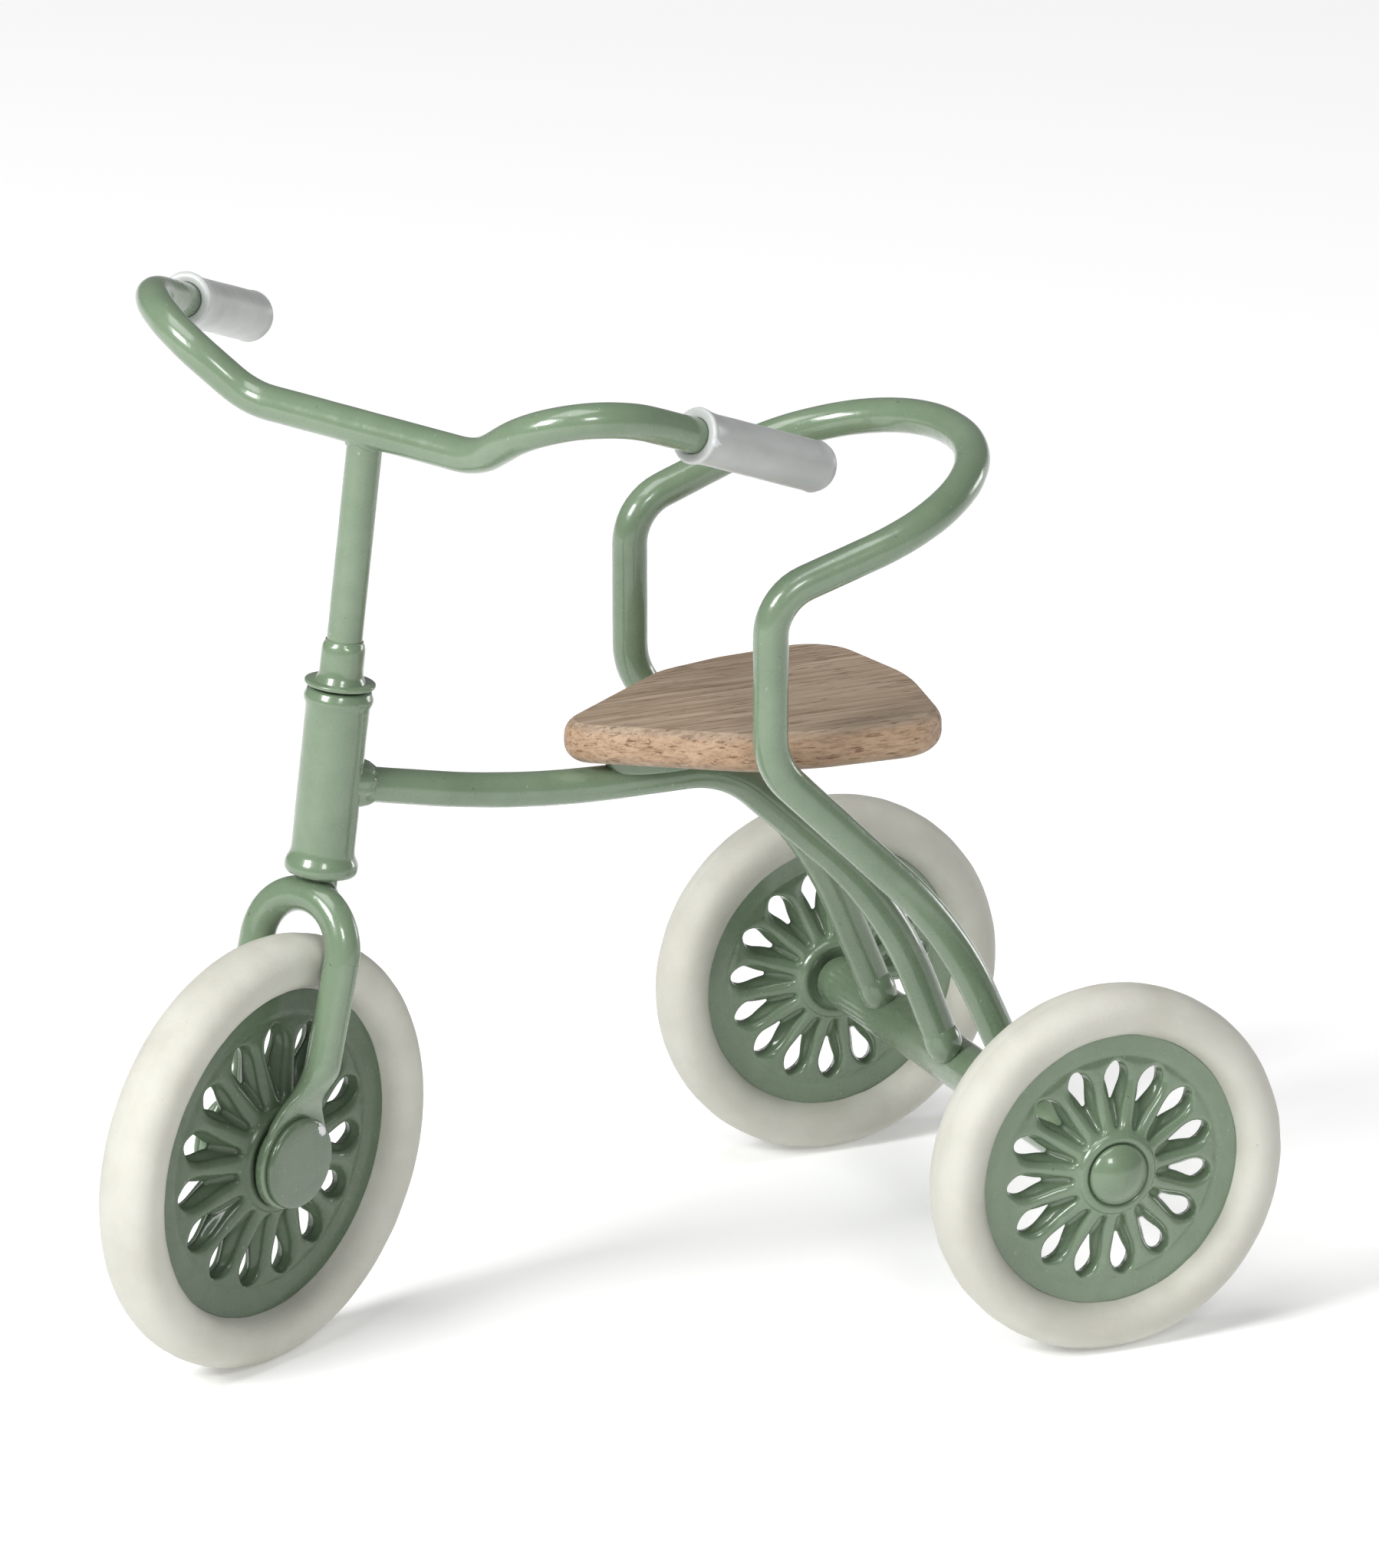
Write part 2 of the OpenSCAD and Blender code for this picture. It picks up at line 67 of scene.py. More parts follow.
# the eye, in rear disc radii from the middle of the rear axle
EYE_UNIT, EYE_SIDE, EYE_UP, EYE_BACK = 13, -1.986, 2.048, 103.464
EYE_BASE = Vector((0, 0, 17.5))
back = Vector((math.sin(CAM_AZ) * math.cos(CAM_EL), -math.cos(CAM_AZ) * math.cos(CAM_EL), math.sin(CAM_EL)))
right = Vector((math.cos(CAM_AZ), math.sin(CAM_AZ), 0))
up = back.cross(right)
eye = EYE_UNIT * (EYE_SIDE * right + EYE_UP * up + EYE_BACK * back) + EYE_BASE
cam_data = bpy.data.cameras.new("camera")
cam_data.sensor_width = CAM_SENSOR
cam_data.lens = CAM_LENS
cam_data.clip_start, cam_data.clip_end = 0.05, 60
cam = bpy.data.objects.new("camera", cam_data)
bpy.context.scene.collection.objects.link(cam)
cam.matrix_world = Matrix((
    (right.x, up.x, back.x, eye.x * MM),
    (right.y, up.y, back.y, eye.y * MM),
    (right.z, up.z, back.z, eye.z * MM),
    (0, 0, 0, 1)))
bpy.context.scene.camera = cam

# ------------------------------------------------------------------ sizes, as in part.scad where it has them
AXLE_Z = 17.5
TRACK = 60.6
ROD_R = 1.65
STEER_Y, RAKE, STEER = 69.1, 6.7, 25.9
FORK_OFFSET, AXLE_H = 4.2, 2.6775
ARCH_H, FORK_X = 26.9, 5.1
EYE_IN, EYE_T, EYE_R = 2.9, 1.1, 4.6
BUTTON_R, BUTTON_T = 4.35, 0.9
HEAD_R, HEAD_LOW, HEAD_HIGH, BEAD_R, BUSH_R = 2.95, 28.9, 46.5, 3.4, 2.35
HOUSING_R, HOUSING_HALF = 2.4, 27.4
HUB_H, HUB_STEP, SIDE_GAP = 2.7, 0.4, 0.2
RIM_GAP, SHEET, SLOTS = 0.45, 0.5, 15
SLEEVE_R, CAP_R, CAP_DOME = 1.9, 2.9, 1.3
TYRE_W = 6.3
REAR_R, REAR_DISC, REAR_RING, LEFT_SPIN = 17.5, 13.0, 3.7, -3.3
FRONT_R, FRONT_DISC, FRONT_RING, FRONT_SPIN = 20.6, 15.7, 5.0, 5.3
BAR_H, BAR_YAW = 71.2, 5.7
GRIP_R, GRIP_LEN = 2.4, 18.2
SEAT_Z, SEAT_T = 53.55, 3.7


def rot(axis, degrees):
    return Matrix.Rotation(math.radians(degrees), 4, axis)


def move(x, y, z):
    return Matrix.Translation((x, y, z))


AT_HEAD = move(0, -STEER_Y, AXLE_Z) @ rot("X", -RAKE)
AT_STEER = AT_HEAD @ rot("Z", STEER)
AT_FRONT = AT_STEER @ move(0, -FORK_OFFSET, AXLE_H) @ rot("Y", 90)
AT_BAR = AT_STEER @ rot("Z", BAR_YAW)
FORK_LEAN = math.degrees(math.atan((FORK_OFFSET - 1.3) / (ARCH_H - AXLE_H)))
LEG_LEN = (ARCH_H - AXLE_H) / math.cos(math.radians(FORK_LEAN)) - FORK_X
AT_FORK = AT_STEER @ move(0, -FORK_OFFSET, AXLE_H) @ rot("X", -FORK_LEAN)


def at_rear(side):
    return move(side * TRACK / 2, 0, AXLE_Z) @ rot("Y", side * 90)


# ------------------------------------------------------------------ mesh helpers
def make(name, parts, material, node_names, sharp=35):
    """One object from (verts, faces) parts in mm, standing for the CAD nodes node_names."""
    verts, faces = [], []
    for pv, pf in parts:
        base = len(verts)
        verts += [Vector(v) * MM for v in pv]
        faces += [[i + base for i in f] for f in pf]
    mesh = bpy.data.meshes.new(name)
    mesh.from_pydata(verts, [], faces)
    mesh.validate()
    mesh.shade_smooth()
    mesh.set_sharp_from_angle(angle=math.radians(sharp))
    mesh.materials.append(material)
    obj = bpy.data.objects.new(name, mesh)
    bpy.context.scene.collection.objects.link(obj)
    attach(obj, nodes[node_names[0]]["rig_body"])
    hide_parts(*node_names)


def placed(part, matrix):
    """The part moved by matrix, its faces turned over if the matrix mirrors."""
    verts, faces = part
    flip = matrix.to_3x3().determinant() < 0
    return [matrix @ Vector(v) for v in verts], [f[::-1] if flip else f for f in faces]


def lathe(profile, segs=96, closed=True, wobble=0.0):
    """Profile of (r, z) turned about Z. A closed profile runs round the section, anticlockwise with r to the right."""
    verts, rings = [], []
    for r, z in profile:
        if r < 1e-6:
            rings.append([len(verts)])
            verts.append(Vector((0, 0, z)))
            continue
        ring = []
        for k in range(segs):
            a = 2 * math.pi * k / segs
            rr = r
            if wobble:
                rr += wobble * noise.noise(Vector((math.cos(a) * r * 0.5, math.sin(a) * r * 0.5, z * 0.5)))
            ring.append(len(verts))
            verts.append(Vector((rr * math.cos(a), rr * math.sin(a), z)))
        rings.append(ring)
    faces = []
    for i in range(len(rings) if closed else len(rings) - 1):
        a, b = rings[i], rings[(i + 1) % len(rings)]
        if len(a) == 1 and len(b) == 1:
            continue
        for k in range(segs):
            n = (k + 1) % segs
            if len(a) == 1:
                faces.append([a[0], b[n], b[k]])
            elif len(b) == 1:
                faces.append([a[k], a[n], b[0]])
            else:
                faces.append([a[k], a[n], b[n], b[k]])
    return verts, faces


def smooth_line(points, steps=5):
    """Catmull-Rom through points of any size."""
    out = []
    for i in range(len(points) - 1):
        p = [Vector(points[max(i - 1, 0)]), Vector(points[i]), Vector(points[i + 1]),
             Vector(points[min(i + 2, len(points) - 1)])]
        for k in range(steps):
            t = k / steps
            out.append(0.5 * (2 * p[1] + (p[2] - p[0]) * t + (2 * p[0] - 5 * p[1] + 4 * p[2] - p[3]) * t * t
                              + (3 * p[1] - p[0] - 3 * p[2] + p[3]) * t ** 3))
    return out + [Vector(points[-1])]


def bent_path(points, radii, step=0.7):
    """Centre line of a rod along the corners, each bent to its radius, with a point about every step."""
    points = [Vector(p) for p in points]
    line = []

    def run(a, b):
        n = max(1, round((b - a).length / step))
        for k in range(n):
            line.append(a.lerp(b, k / n))

    start = points[0]
    for i in range(1, len(points) - 1):
        a = (points[i - 1] - points[i]).normalized()
        b = (points[i + 1] - points[i]).normalized()
        half = a.angle(b) / 2
        reach = radii[i] / math.tan(half)
        centre = points[i] + (a + b).normalized() * radii[i] / math.sin(half)
        run(start, points[i] + a * reach)
        x = (points[i] + a * reach - centre).normalized()
        axis = x.cross(points[i] + b * reach - centre).normalized()
        turn = math.pi - 2 * half
        n = max(4, round(radii[i] * turn / step))
        for k in range(n):
            line.append(centre + Matrix.Rotation(turn * k / n, 3, axis) @ x * radii[i])
        start = points[i] + b * reach
    run(start, points[-1])
    return line + [points[-1]]


def frames(path):
    """A turning-free frame (x, y) at each point of the path."""
    out = []
    x = None
    for i, p in enumerate(path):
        t = (path[min(i + 1, len(path) - 1)] - path[max(i - 1, 0)]).normalized()
        if x is None:
            x = t.cross(Vector((0.31, 0.2, 0.93))).normalized()
        x = (x - t * x.dot(t)).normalized()
        out.append((x, t.cross(x)))
    return out


def sweep(path, radius, sides=36, wave=0.02):
    """Round rod along the path, closed at both ends, with the faint unevenness of drawn and bent wire."""
    verts, faces = [], []
    for p, (x, y) in zip(path, frames(path)):
        for k in range(sides):
            a = 2 * math.pi * k / sides
            d = x * math.cos(a) + y * math.sin(a)
            r = radius + wave * noise.noise((p + d * radius) * 0.42)
            verts.append(p + d * r)
    n = len(path)
    for i in range(n - 1):
        for k in range(sides):
            j = (k + 1) % sides
            faces.append([i * sides + k, i * sides + j, (i + 1) * sides + j, (i + 1) * sides + k])
    faces.append(list(range(sides))[::-1])
    faces.append([(n - 1) * sides + k for k in range(sides)])
    return verts, faces


def weld(rod_at, rod_dir, rod_r, cyl_at, cyl_dir, cyl_r, wide=0.55, tall=0.7, seed=0.0, lumps=1.0):
    """Fillet weld where a rod lands on a cylinder: a lumpy ring between the two surfaces."""
    rod_dir = rod_dir.normalized()
    cyl_dir = cyl_dir.normalized()
    u = rod_dir.cross(cyl_dir)
    u = (u if u.length > 0.05 else rod_dir.cross(Vector((1, 0.2, 0)))).normalized()
    v = rod_dir.cross(u)

    def landing(q):
        """Distance along the rod from q to the cylinder's near side."""
        w = (q - cyl_at) - cyl_dir * (q - cyl_at).dot(cyl_dir)
        e = rod_dir - cyl_dir * rod_dir.dot(cyl_dir)
        a, b, c = e.dot(e), 2 * w.dot(e), w.dot(w) - cyl_r * cyl_r
        return (-b - math.sqrt(max(b * b - 4 * a * c, 0))) / (2 * a)

    rings = 84
    verts, faces = [], []
    for i in range(rings):
        f = 2 * math.pi * i / rings
        out = u * math.cos(f) + v * math.sin(f)
        ripple = noise.noise(Vector((math.cos(f) * 2.1 + seed, math.sin(f) * 2.1, seed)))
        scale = 1 + lumps * (0.30 * ripple + 0.10 * math.sin(f * 9 + 3 * ripple))
        q = rod_at + out * rod_r
        edge = q + rod_dir * landing(q)
        far = rod_at + out * (rod_r + wide * scale)
        foot = far + rod_dir * (landing(far) + 0.12)
        top = edge - rod_dir * tall * scale - out * 0.1
        ridge = edge + out * wide * 0.62 * scale - rod_dir * tall * 0.52 * scale
        inner = edge + rod_dir * 0.35 - out * 0.4
        pts = smooth_line([foot, ridge, top], 3) + [inner]
        verts += pts
    m = len(verts) // rings
    for i in range(rings):
        a, b = i * m, ((i + 1) % rings) * m
        for k in range(m):
            n = (k + 1) % m
            faces.append([a + k, a + n, b + n, b + k])
    return verts, faces


def blob(at, rod_dir, along, across, wide, wobble):
    """Smooth lump of weld and paint where a rod ends on the axle housing."""
    z = rod_dir.normalized()
    y = z.cross(Vector((1, 0, 0))).normalized()
    x = y.cross(z)
    grid = Matrix([[x[i] * wide, y[i] * across, z[i] * along, at[i]] for i in range(3)] + [[0, 0, 0, 1]])
    half_round = [(math.sin(math.pi * k / 16), -math.cos(math.pi * k / 16)) for k in range(17)]
    return placed(lathe(half_round, 56, False, wobble), grid)


def merged(verts, faces):
    """The same part with points closer than MERGE_REACH made one."""
    bm = bmesh.new()
    for v in verts:
        bm.verts.new(v)
    bm.verts.ensure_lookup_table()
    for f in faces:
        bm.faces.new([bm.verts[i] for i in f])
    bmesh.ops.remove_doubles(bm, verts=bm.verts[:], dist=MERGE_REACH)
    bm.verts.index_update()
    part = [v.co.copy() for v in bm.verts], [[v.index for v in f.verts] for f in bm.faces]
    bm.free()
    return part


# ------------------------------------------------------------------ wheels
# A slot's half width, as a share of the widest, at shares of its length from the hub end
LEAF = ((0, 0), (0.012, 0.14), (0.035, 0.23), (0.08, 0.30), (0.16, 0.38), (0.28, 0.53), (0.40, 0.71), (0.52, 0.90),
        (0.62, 1.01), (0.70, 1.05), (0.78, 1.02), (0.86, 0.90), (0.925, 0.70), (0.967, 0.48), (0.991, 0.25), (1, 0))
LIP_Z = 0.035  # height above the wheel's middle plane at which a slot's lip ends


def leaf_outline(x0, x1, wide):
    """Upper edge of a leaf-shaped slot from its hub end to its rim end."""
    pts = smooth_line([(x0 + (x1 - x0) * t, wide * w, 0) for t, w in LEAF], 3)
    return [(p.x, max(p.y, 0.0)) for p in pts]


def curve_at(table, r):
    """Smooth height at r from a table of (r, z)."""
    for i in range(len(table) - 1):
        if r <= table[i + 1][0]:
            (r0, z0), (r1, z1) = table[i], table[i + 1]
            t = (r - r0) / (r1 - r0)
            m0 = (z1 - table[i - 1][1]) / (r1 - table[i - 1][0]) if i else (z1 - z0) / (r1 - r0)
            m1 = (table[i + 2][1] - z0) / (table[i + 2][0] - r0) if i + 2 < len(table) else 0
            t2, t3, d = t * t, t ** 3, r1 - r0
            return ((2 * t3 - 3 * t2 + 1) * z0 + (t3 - 2 * t2 + t) * m0 * d
                    + (3 * t2 - 2 * t3) * z1 + (t3 - t2) * m1 * d)
    return table[-1][1]


def pressed_disc(r, ring):
    """Pressed wheel disc with its outer face up: hub ring, arched spokes between leaf-shaped slots whose lips
    fold inwards to the middle of the wheel, a shallow crease and a flat rim."""
    rim, crease = RIM_GAP + SHEET, 0.82 * r
    seat_h = HUB_H - HUB_STEP
    slope = HUB_H - 0.35 - rim
    table = [(SLEEVE_R - 0.1, seat_h), (ring - 0.95, seat_h + 0.02), (ring - 0.8, seat_h + 0.13),
             (ring - 0.69, seat_h + 0.17), (ring - 0.56, HUB_H - 0.06),
             (ring - 0.36, HUB_H), (ring - 0.1, HUB_H - 0.03), (ring + 0.12, HUB_H - 0.17),
             (ring + 0.3, HUB_H - 0.42), (ring + 0.3 * (crease - ring), rim + 0.60 * slope),
             (ring + 0.65 * (crease - ring), rim + 0.30 * slope), (crease - 0.3, rim + 0.13),
             (crease + 0.05, rim + 0.02), (crease + 0.35, rim - 0.07), (crease + 0.75, rim), (r, rim)]
    x0, x1 = ring + 0.6, 0.81 * r
    wide = r / 13 * 1.1
    sheet, half_step = 0.3, math.pi / SLOTS
    ra, rb = x0 - 0.32, x1 + 0.55
    side = leaf_outline(x0, x1, wide)
    # the point of the sector's edge that each point of the outline runs out to
    near = [i for i, p in enumerate(side) if p[0] < x0 + 0.06 * (x1 - x0)][-1]
    far = [i for i, p in enumerate(side) if p[0] > x0 + 0.88 * (x1 - x0)][0]
    edge = []
    for i, p in enumerate(side):
        if i <= near:
            g = half_step * i / near
            edge.append((ra * math.cos(g), ra * math.sin(g)))
        elif i <= far:
            rr = ra + (rb - ra) * (p[0] - side[near][0]) / (side[far][0] - side[near][0])
            edge.append((rr * math.cos(half_step), rr * math.sin(half_step)))
        else:
            g = half_step * (1 - (i - far) / (len(side) - 1 - far))
            edge.append((rb * math.cos(g), rb * math.sin(g)))
    slot_pts, edge_pts = side[:], edge[:]
    for i in range(len(side) - 2, 0, -1):
        slot_pts.append((side[i][0], -side[i][1]))
        edge_pts.append((edge[i][0], -edge[i][1]))
    count = len(slot_pts)
    inward = []
    for i in range(count):
        t = (Vector(slot_pts[(i + 1) % count]) - Vector(slot_pts[i - 1])).normalized()
        inward.append(Vector((t.y, -t.x)))
    rows = [0, 0.02, 0.055, 0.10, 0.16, 0.24, 0.34, 0.46, 0.6, 0.8, 1]
    walls = [0.12, 0.3, 0.55, 0.8, 0.97]

    def drop(d, along):
        width = 0.74 * wide
        if along > 0.8:
            width -= (width - 0.42) * min((along - 0.8) / 0.15, 1)
        width *= 0.4 + 0.6 * min(along / 0.15, 1)
        if d >= width:
            return 0.0
        return (0.66 - 0.3 * min(max((along - 0.75) / 0.2, 0), 1)) * (1 - math.sqrt(max(1 - (1 - d / width) ** 2.2, 0)))

    verts, faces, seen = [], [], {}

    def vert(x, y, z, layer):
        key = (round(x, 4), round(y, 4), layer)
        if key not in seen:
            seen[key] = len(verts)
            verts.append(Vector((x, y, z)))
        return seen[key]

    def turned(p, a):
        return p[0] * math.cos(a) - p[1] * math.sin(a), p[0] * math.sin(a) + p[1] * math.cos(a)

    def quad(f, flip=False):
        f = [i for k, i in enumerate(f) if i != f[k - 1]]
        if len(f) > 2:
            faces.append(f[::-1] if flip else f)

    # one sector's points: top, wall down to the middle, and the sheet's back
    top, wall, low = [], [], []
    for t in rows:
        line_top, line_low = [], []
        for s, e, n in zip(slot_pts, edge_pts, inward):
            p = Vector(s).lerp(Vector(e), t)
            d = abs((p - Vector(s)).dot(n))
            z = curve_at(table, p.length) - drop(d, (s[0] - x0) / (x1 - x0))
            m = min(max((d - 0.2) / 0.3, 0), 1)
            back_z = z - sheet
            line_top.append((p.x, p.y, z))
            line_low.append((p.x, p.y, LIP_Z + (max(back_z, 0.05) - LIP_Z) * m * m * (3 - 2 * m)))
        top.append(line_top)
        low.append(line_low)
    for w in walls:
        line = []
        for k, s in enumerate(slot_pts):
            t, f = (s[0] - x0) / (x1 - x0), w * w * (3 - 2 * w) * 0.5 + w * 0.5
            foot = Vector((x0 + (x1 - x0) * (0.38 + 0.585 * t), s[1] * 0.74))
            q = Vector(s).lerp(foot, f)
            line.append((q.x, q.y, top[0][k][2] * (1 - w) + LIP_Z * w))
        wall.append(line)
    line_end = [(wall[-1][k][0], wall[-1][k][1], LIP_Z) for k in range(count)]
    inner = sorted({round(math.atan2(y, x), 9) for x, y in edge_pts if abs(math.hypot(x, y) - ra) < 1e-6})
    outer = sorted({round(math.atan2(y, x), 9) for x, y in edge_pts if abs(math.hypot(x, y) - rb) < 1e-6})
    hub_rows = [SLEEVE_R, ring - 1.2, ring - 0.85, ring - 0.74, ring - 0.66, ring - 0.6, ring - 0.54, ring - 0.46,
                ring - 0.36, ring - 0.22, ring - 0.1, ring + 0.02, ring + 0.14, ring + 0.24, ring + 0.36]
    hub_rows = [v for v in hub_rows if v < ra - 0.03] + [ra]
    rim_rows = [rb + (r - rb) * t for t in (0, 0.12, 0.25, 0.4, 0.55, 0.7, 0.85, 0.94, 1)]
    for s in range(SLOTS):
        a = (s + 0.5) * 2 * half_step

        def ids(line, layer):
            return [vert(*turned(p, a), p[2], layer) for p in line]

        chain = [ids(l, "low") for l in low[::-1]] + [ids(line_end, "foot")]
        chain += [ids(l, f"wall{i}") for i, l in reversed(list(enumerate(wall)))] + [ids(l, "top") for l in top]
        for i in range(len(chain) - 1):
            for k in range(count):
                n = (k + 1) % count
                quad([chain[i][k], chain[i][n], chain[i + 1][n], chain[i + 1][k]])
        for radii, angles in ((hub_rows, inner), (rim_rows, outer)):
            for i in range(len(radii) - 1):
                for k in range(len(angles) - 1):
                    for layer in ("top", "low"):
                        pts = []
                        for q, g in ((radii[i], angles[k]), (radii[i + 1], angles[k]),
                                     (radii[i + 1], angles[k + 1]), (radii[i], angles[k + 1])):
                            z = curve_at(table, q) - (0 if layer == "top" else sheet)
                            pts.append(vert(*turned((q * math.cos(g), q * math.sin(g)), a), z, layer))
                        quad(pts, layer == "low")
        for radius, angles, flip in ((SLEEVE_R, inner, False), (r, outer, True)):
            line = [turned((radius * math.cos(g), radius * math.sin(g)), a) for g in angles]
            for p, q in zip(line, line[1:]):
                quad([vert(*p, 0, "top"), vert(*q, 0, "top"), vert(*q, 0, "low"), vert(*p, 0, "low")], flip)
    return merged(verts, faces)


def tyre_part(r, disc_r):
    """Rubber ring of full rounded section with a faint mould line and an inner web between the discs."""
    rim, half = RIM_GAP + SHEET, TYRE_W / 2
    a = (r - disc_r) / 2

    def swell(v):
        return math.copysign(abs(v) ** 0.87, v)

    side = [(disc_r + 0.03, rim - 0.03), (disc_r + 0.05, rim + 0.08)]
    side += [(r - a + a * swell(math.cos(math.radians(t))), half * swell(math.sin(math.radians(t))))
             for t in range(160, 5, -5)]
    side += [(r - 0.004, 0.16), (r - 0.018, 0.09), (r, 0.04)]
    upper = [(disc_r - 1.2, RIM_GAP - 0.03), (disc_r + 0.02, RIM_GAP - 0.03)] + side
    profile = upper[::-1] + [(p, -q) for p, q in upper]
    return lathe(profile, 192, True, 0.05)


# ------------------------------------------------------------------ materials
def new_material(name):
    """A material with a Principled shader: itself, its node tree, the shader and the object's coordinates."""
    material = bpy.data.materials.new(name)
    material.use_nodes = True
    tree = material.node_tree
    tree.nodes.clear()
    out = tree.nodes.new("ShaderNodeOutputMaterial")
    shader = tree.nodes.new("ShaderNodeBsdfPrincipled")
    tree.links.new(shader.outputs[0], out.inputs[0])
    coords = tree.nodes.new("ShaderNodeTexCoord").outputs["Object"]
    return material, tree, shader, coords


def plug(tree, socket, value):
    """Links or sets one input."""
    if hasattr(value, "is_output"):
        tree.links.new(value, socket)
    else:
        socket.default_value = value


def noise_at(tree, coords, scale, detail=3.0, rough=0.5, stretch=None, distortion=0.0):
    if stretch:
        mapping = tree.nodes.new("ShaderNodeMapping")
        mapping.inputs["Scale"].default_value = stretch
        tree.links.new(coords, mapping.inputs["Vector"])
        coords = mapping.outputs[0]
    tex = tree.nodes.new("ShaderNodeTexNoise")
    tex.inputs["Scale"].default_value = scale
    tex.inputs["Detail"].default_value = detail
    tex.inputs["Roughness"].default_value = rough
    tex.inputs["Distortion"].default_value = distortion
    tree.links.new(coords, tex.inputs["Vector"])
    return tex.outputs["Fac"]


def ramp(tree, value, low, high, a=0.0, b=1.0):
    """Maps value from low..high to a..b, clamped."""
    node = tree.nodes.new("ShaderNodeMapRange")
    node.interpolation_type = "SMOOTHSTEP"
    plug(tree, node.inputs["Value"], value)
    for key, v in (("From Min", low), ("From Max", high), ("To Min", a), ("To Max", b)):
        node.inputs[key].default_value = v
    return node.outputs["Result"]


def mix(tree, factor, a, b):
    node = tree.nodes.new("ShaderNodeMix")
    node.data_type = "RGBA"
    plug(tree, node.inputs["Factor"], factor)
    for socket, v in ((node.inputs[6], a), (node.inputs[7], b)):
        plug(tree, socket, (*v, 1) if isinstance(v, tuple) else v)
    return node.outputs[2]


def maths(tree, op, a, b=0.0):
    node = tree.nodes.new("ShaderNodeMath")
    node.operation = op
    plug(tree, node.inputs[0], a)
    plug(tree, node.inputs[1], b)
    return node.outputs[0]


def bump(tree, shader, height, distance):
    node = tree.nodes.new("ShaderNodeBump")
    node.inputs["Strength"].default_value = 1.0
    node.inputs["Distance"].default_value = distance
    tree.links.new(height, node.inputs["Height"])
    tree.links.new(node.outputs[0], shader.inputs["Normal"])


def spot(tree, coords, at, radius):
    """1 at a point of the object in mm, falling to 0 at radius."""
    node = tree.nodes.new("ShaderNodeVectorMath")
    node.operation = "DISTANCE"
    tree.links.new(coords, node.inputs[0])
    node.inputs[1].default_value = Vector(at) * MM
    return ramp(tree, node.outputs["Value"], 0, radius * MM, 1, 0)


def enamel(name, chip=None, tone=1.0, coat=0.6):
    """Sage green enamel over steel: soft colour drift, dust specks, orange peel, and paler sharp edges that are partly
    wear and partly painted highlight.

    chip is (centre, radius) of a chip down to the metal, and tone scales the paint's brightness; a tone below 1 is
    painted shade."""
    material, tree, shader, coords = new_material(name)
    drift = noise_at(tree, coords, 110, 3)
    cloud = noise_at(tree, coords, 520, 4, 0.6)
    grain = noise_at(tree, coords, 2600, 2)
    low, high, patch, pale = [tuple(c * tone for c in rgb) for rgb in (
        (0.142, 0.206, 0.126), (0.172, 0.240, 0.154), (0.118, 0.172, 0.106), (0.30, 0.38, 0.27))]
    colour = mix(tree, ramp(tree, drift, 0.3, 0.7), low, high)
    colour = mix(tree, ramp(tree, cloud, 0.35, 0.75, 0, 0.30), colour, patch)
    # Sharp convex edges painted paler: partly wear, partly painted highlight.
    worn_edges_and_sheen = ramp(tree, tree.nodes.new("ShaderNodeNewGeometry").outputs["Pointiness"], 0.54, 0.66, 0, 0.20)
    colour = mix(tree, worn_edges_and_sheen, colour, pale)
    dark = ramp(tree, noise_at(tree, coords, 1700, 1), 0.775, 0.80, 0, 0.6)
    colour = mix(tree, dark, colour, (0.07, 0.09, 0.06))
    dust = ramp(tree, noise_at(tree, coords, 2100, 1, 0.5, (1.0, 1.3, 0.8)), 0.765, 0.80, 0, 0.3)
    colour = mix(tree, dust, colour, (0.55, 0.6, 0.52))
    gloss = ramp(tree, cloud, 0.3, 0.7, 0.20, 0.32)
    height = maths(tree, "ADD", maths(tree, "MULTIPLY", noise_at(tree, coords, 430, 2), 1.0),
                   maths(tree, "MULTIPLY", grain, 0.16))
    height = maths(tree, "SUBTRACT", height, maths(tree, "MULTIPLY", dark, 0.12))
    if chip:
        bare = maths(tree, "MULTIPLY", spot(tree, coords, chip[0], chip[1]), noise_at(tree, coords, 2900, 4, 0.7))
        bare = ramp(tree, bare, 0.30, 0.36)
        colour = mix(tree, bare, colour, (0.72, 0.73, 0.74))
        height = maths(tree, "SUBTRACT", height, maths(tree, "MULTIPLY", bare, 0.9))
    plug(tree, shader.inputs["Base Color"], colour)
    plug(tree, shader.inputs["Roughness"], gloss)
    shader.inputs["Coat Weight"].default_value = coat
    shader.inputs["Specular IOR Level"].default_value = 0.5 if coat > 0.4 else 0.3
    shader.inputs["Coat Roughness"].default_value = 0.09
    bump(tree, shader, height, 0.00006)
    return material


def rubber(name):
    """Cream rubber: matte, faintly mottled, with a few moulding specks and a warmer foot."""
    material, tree, shader, coords = new_material(name)
    mottled = noise_at(tree, coords, 160, 4, 0.55)
    fine = noise_at(tree, coords, 3200, 3, 0.6)
    colour = mix(tree, ramp(tree, mottled, 0.3, 0.7), (0.495, 0.49, 0.43), (0.55, 0.547, 0.49))
    speck = ramp(tree, noise_at(tree, coords, 1500, 1), 0.785, 0.81, 0, 0.5)
    colour = mix(tree, speck, colour, (0.40, 0.36, 0.27))
    grime = ramp(tree, tree.nodes.new("ShaderNodeNewGeometry").outputs["Pointiness"], 0.40, 0.485, 0.55, 0)
    colour = mix(tree, grime, colour, (0.52, 0.49, 0.38))
    plug(tree, shader.inputs["Base Color"], colour)
    plug(tree, shader.inputs["Roughness"], ramp(tree, mottled, 0.25, 0.75, 0.50, 0.66))
    shader.inputs["Specular IOR Level"].default_value = 0.38
    shader.inputs["Subsurface Weight"].default_value = 0.08
    shader.inputs["Subsurface Scale"].default_value = 0.0008
    bump(tree, shader, maths(tree, "ADD", fine, maths(tree, "MULTIPLY", noise_at(tree, coords, 500, 2), 1.5)), 0.00003)
    return material


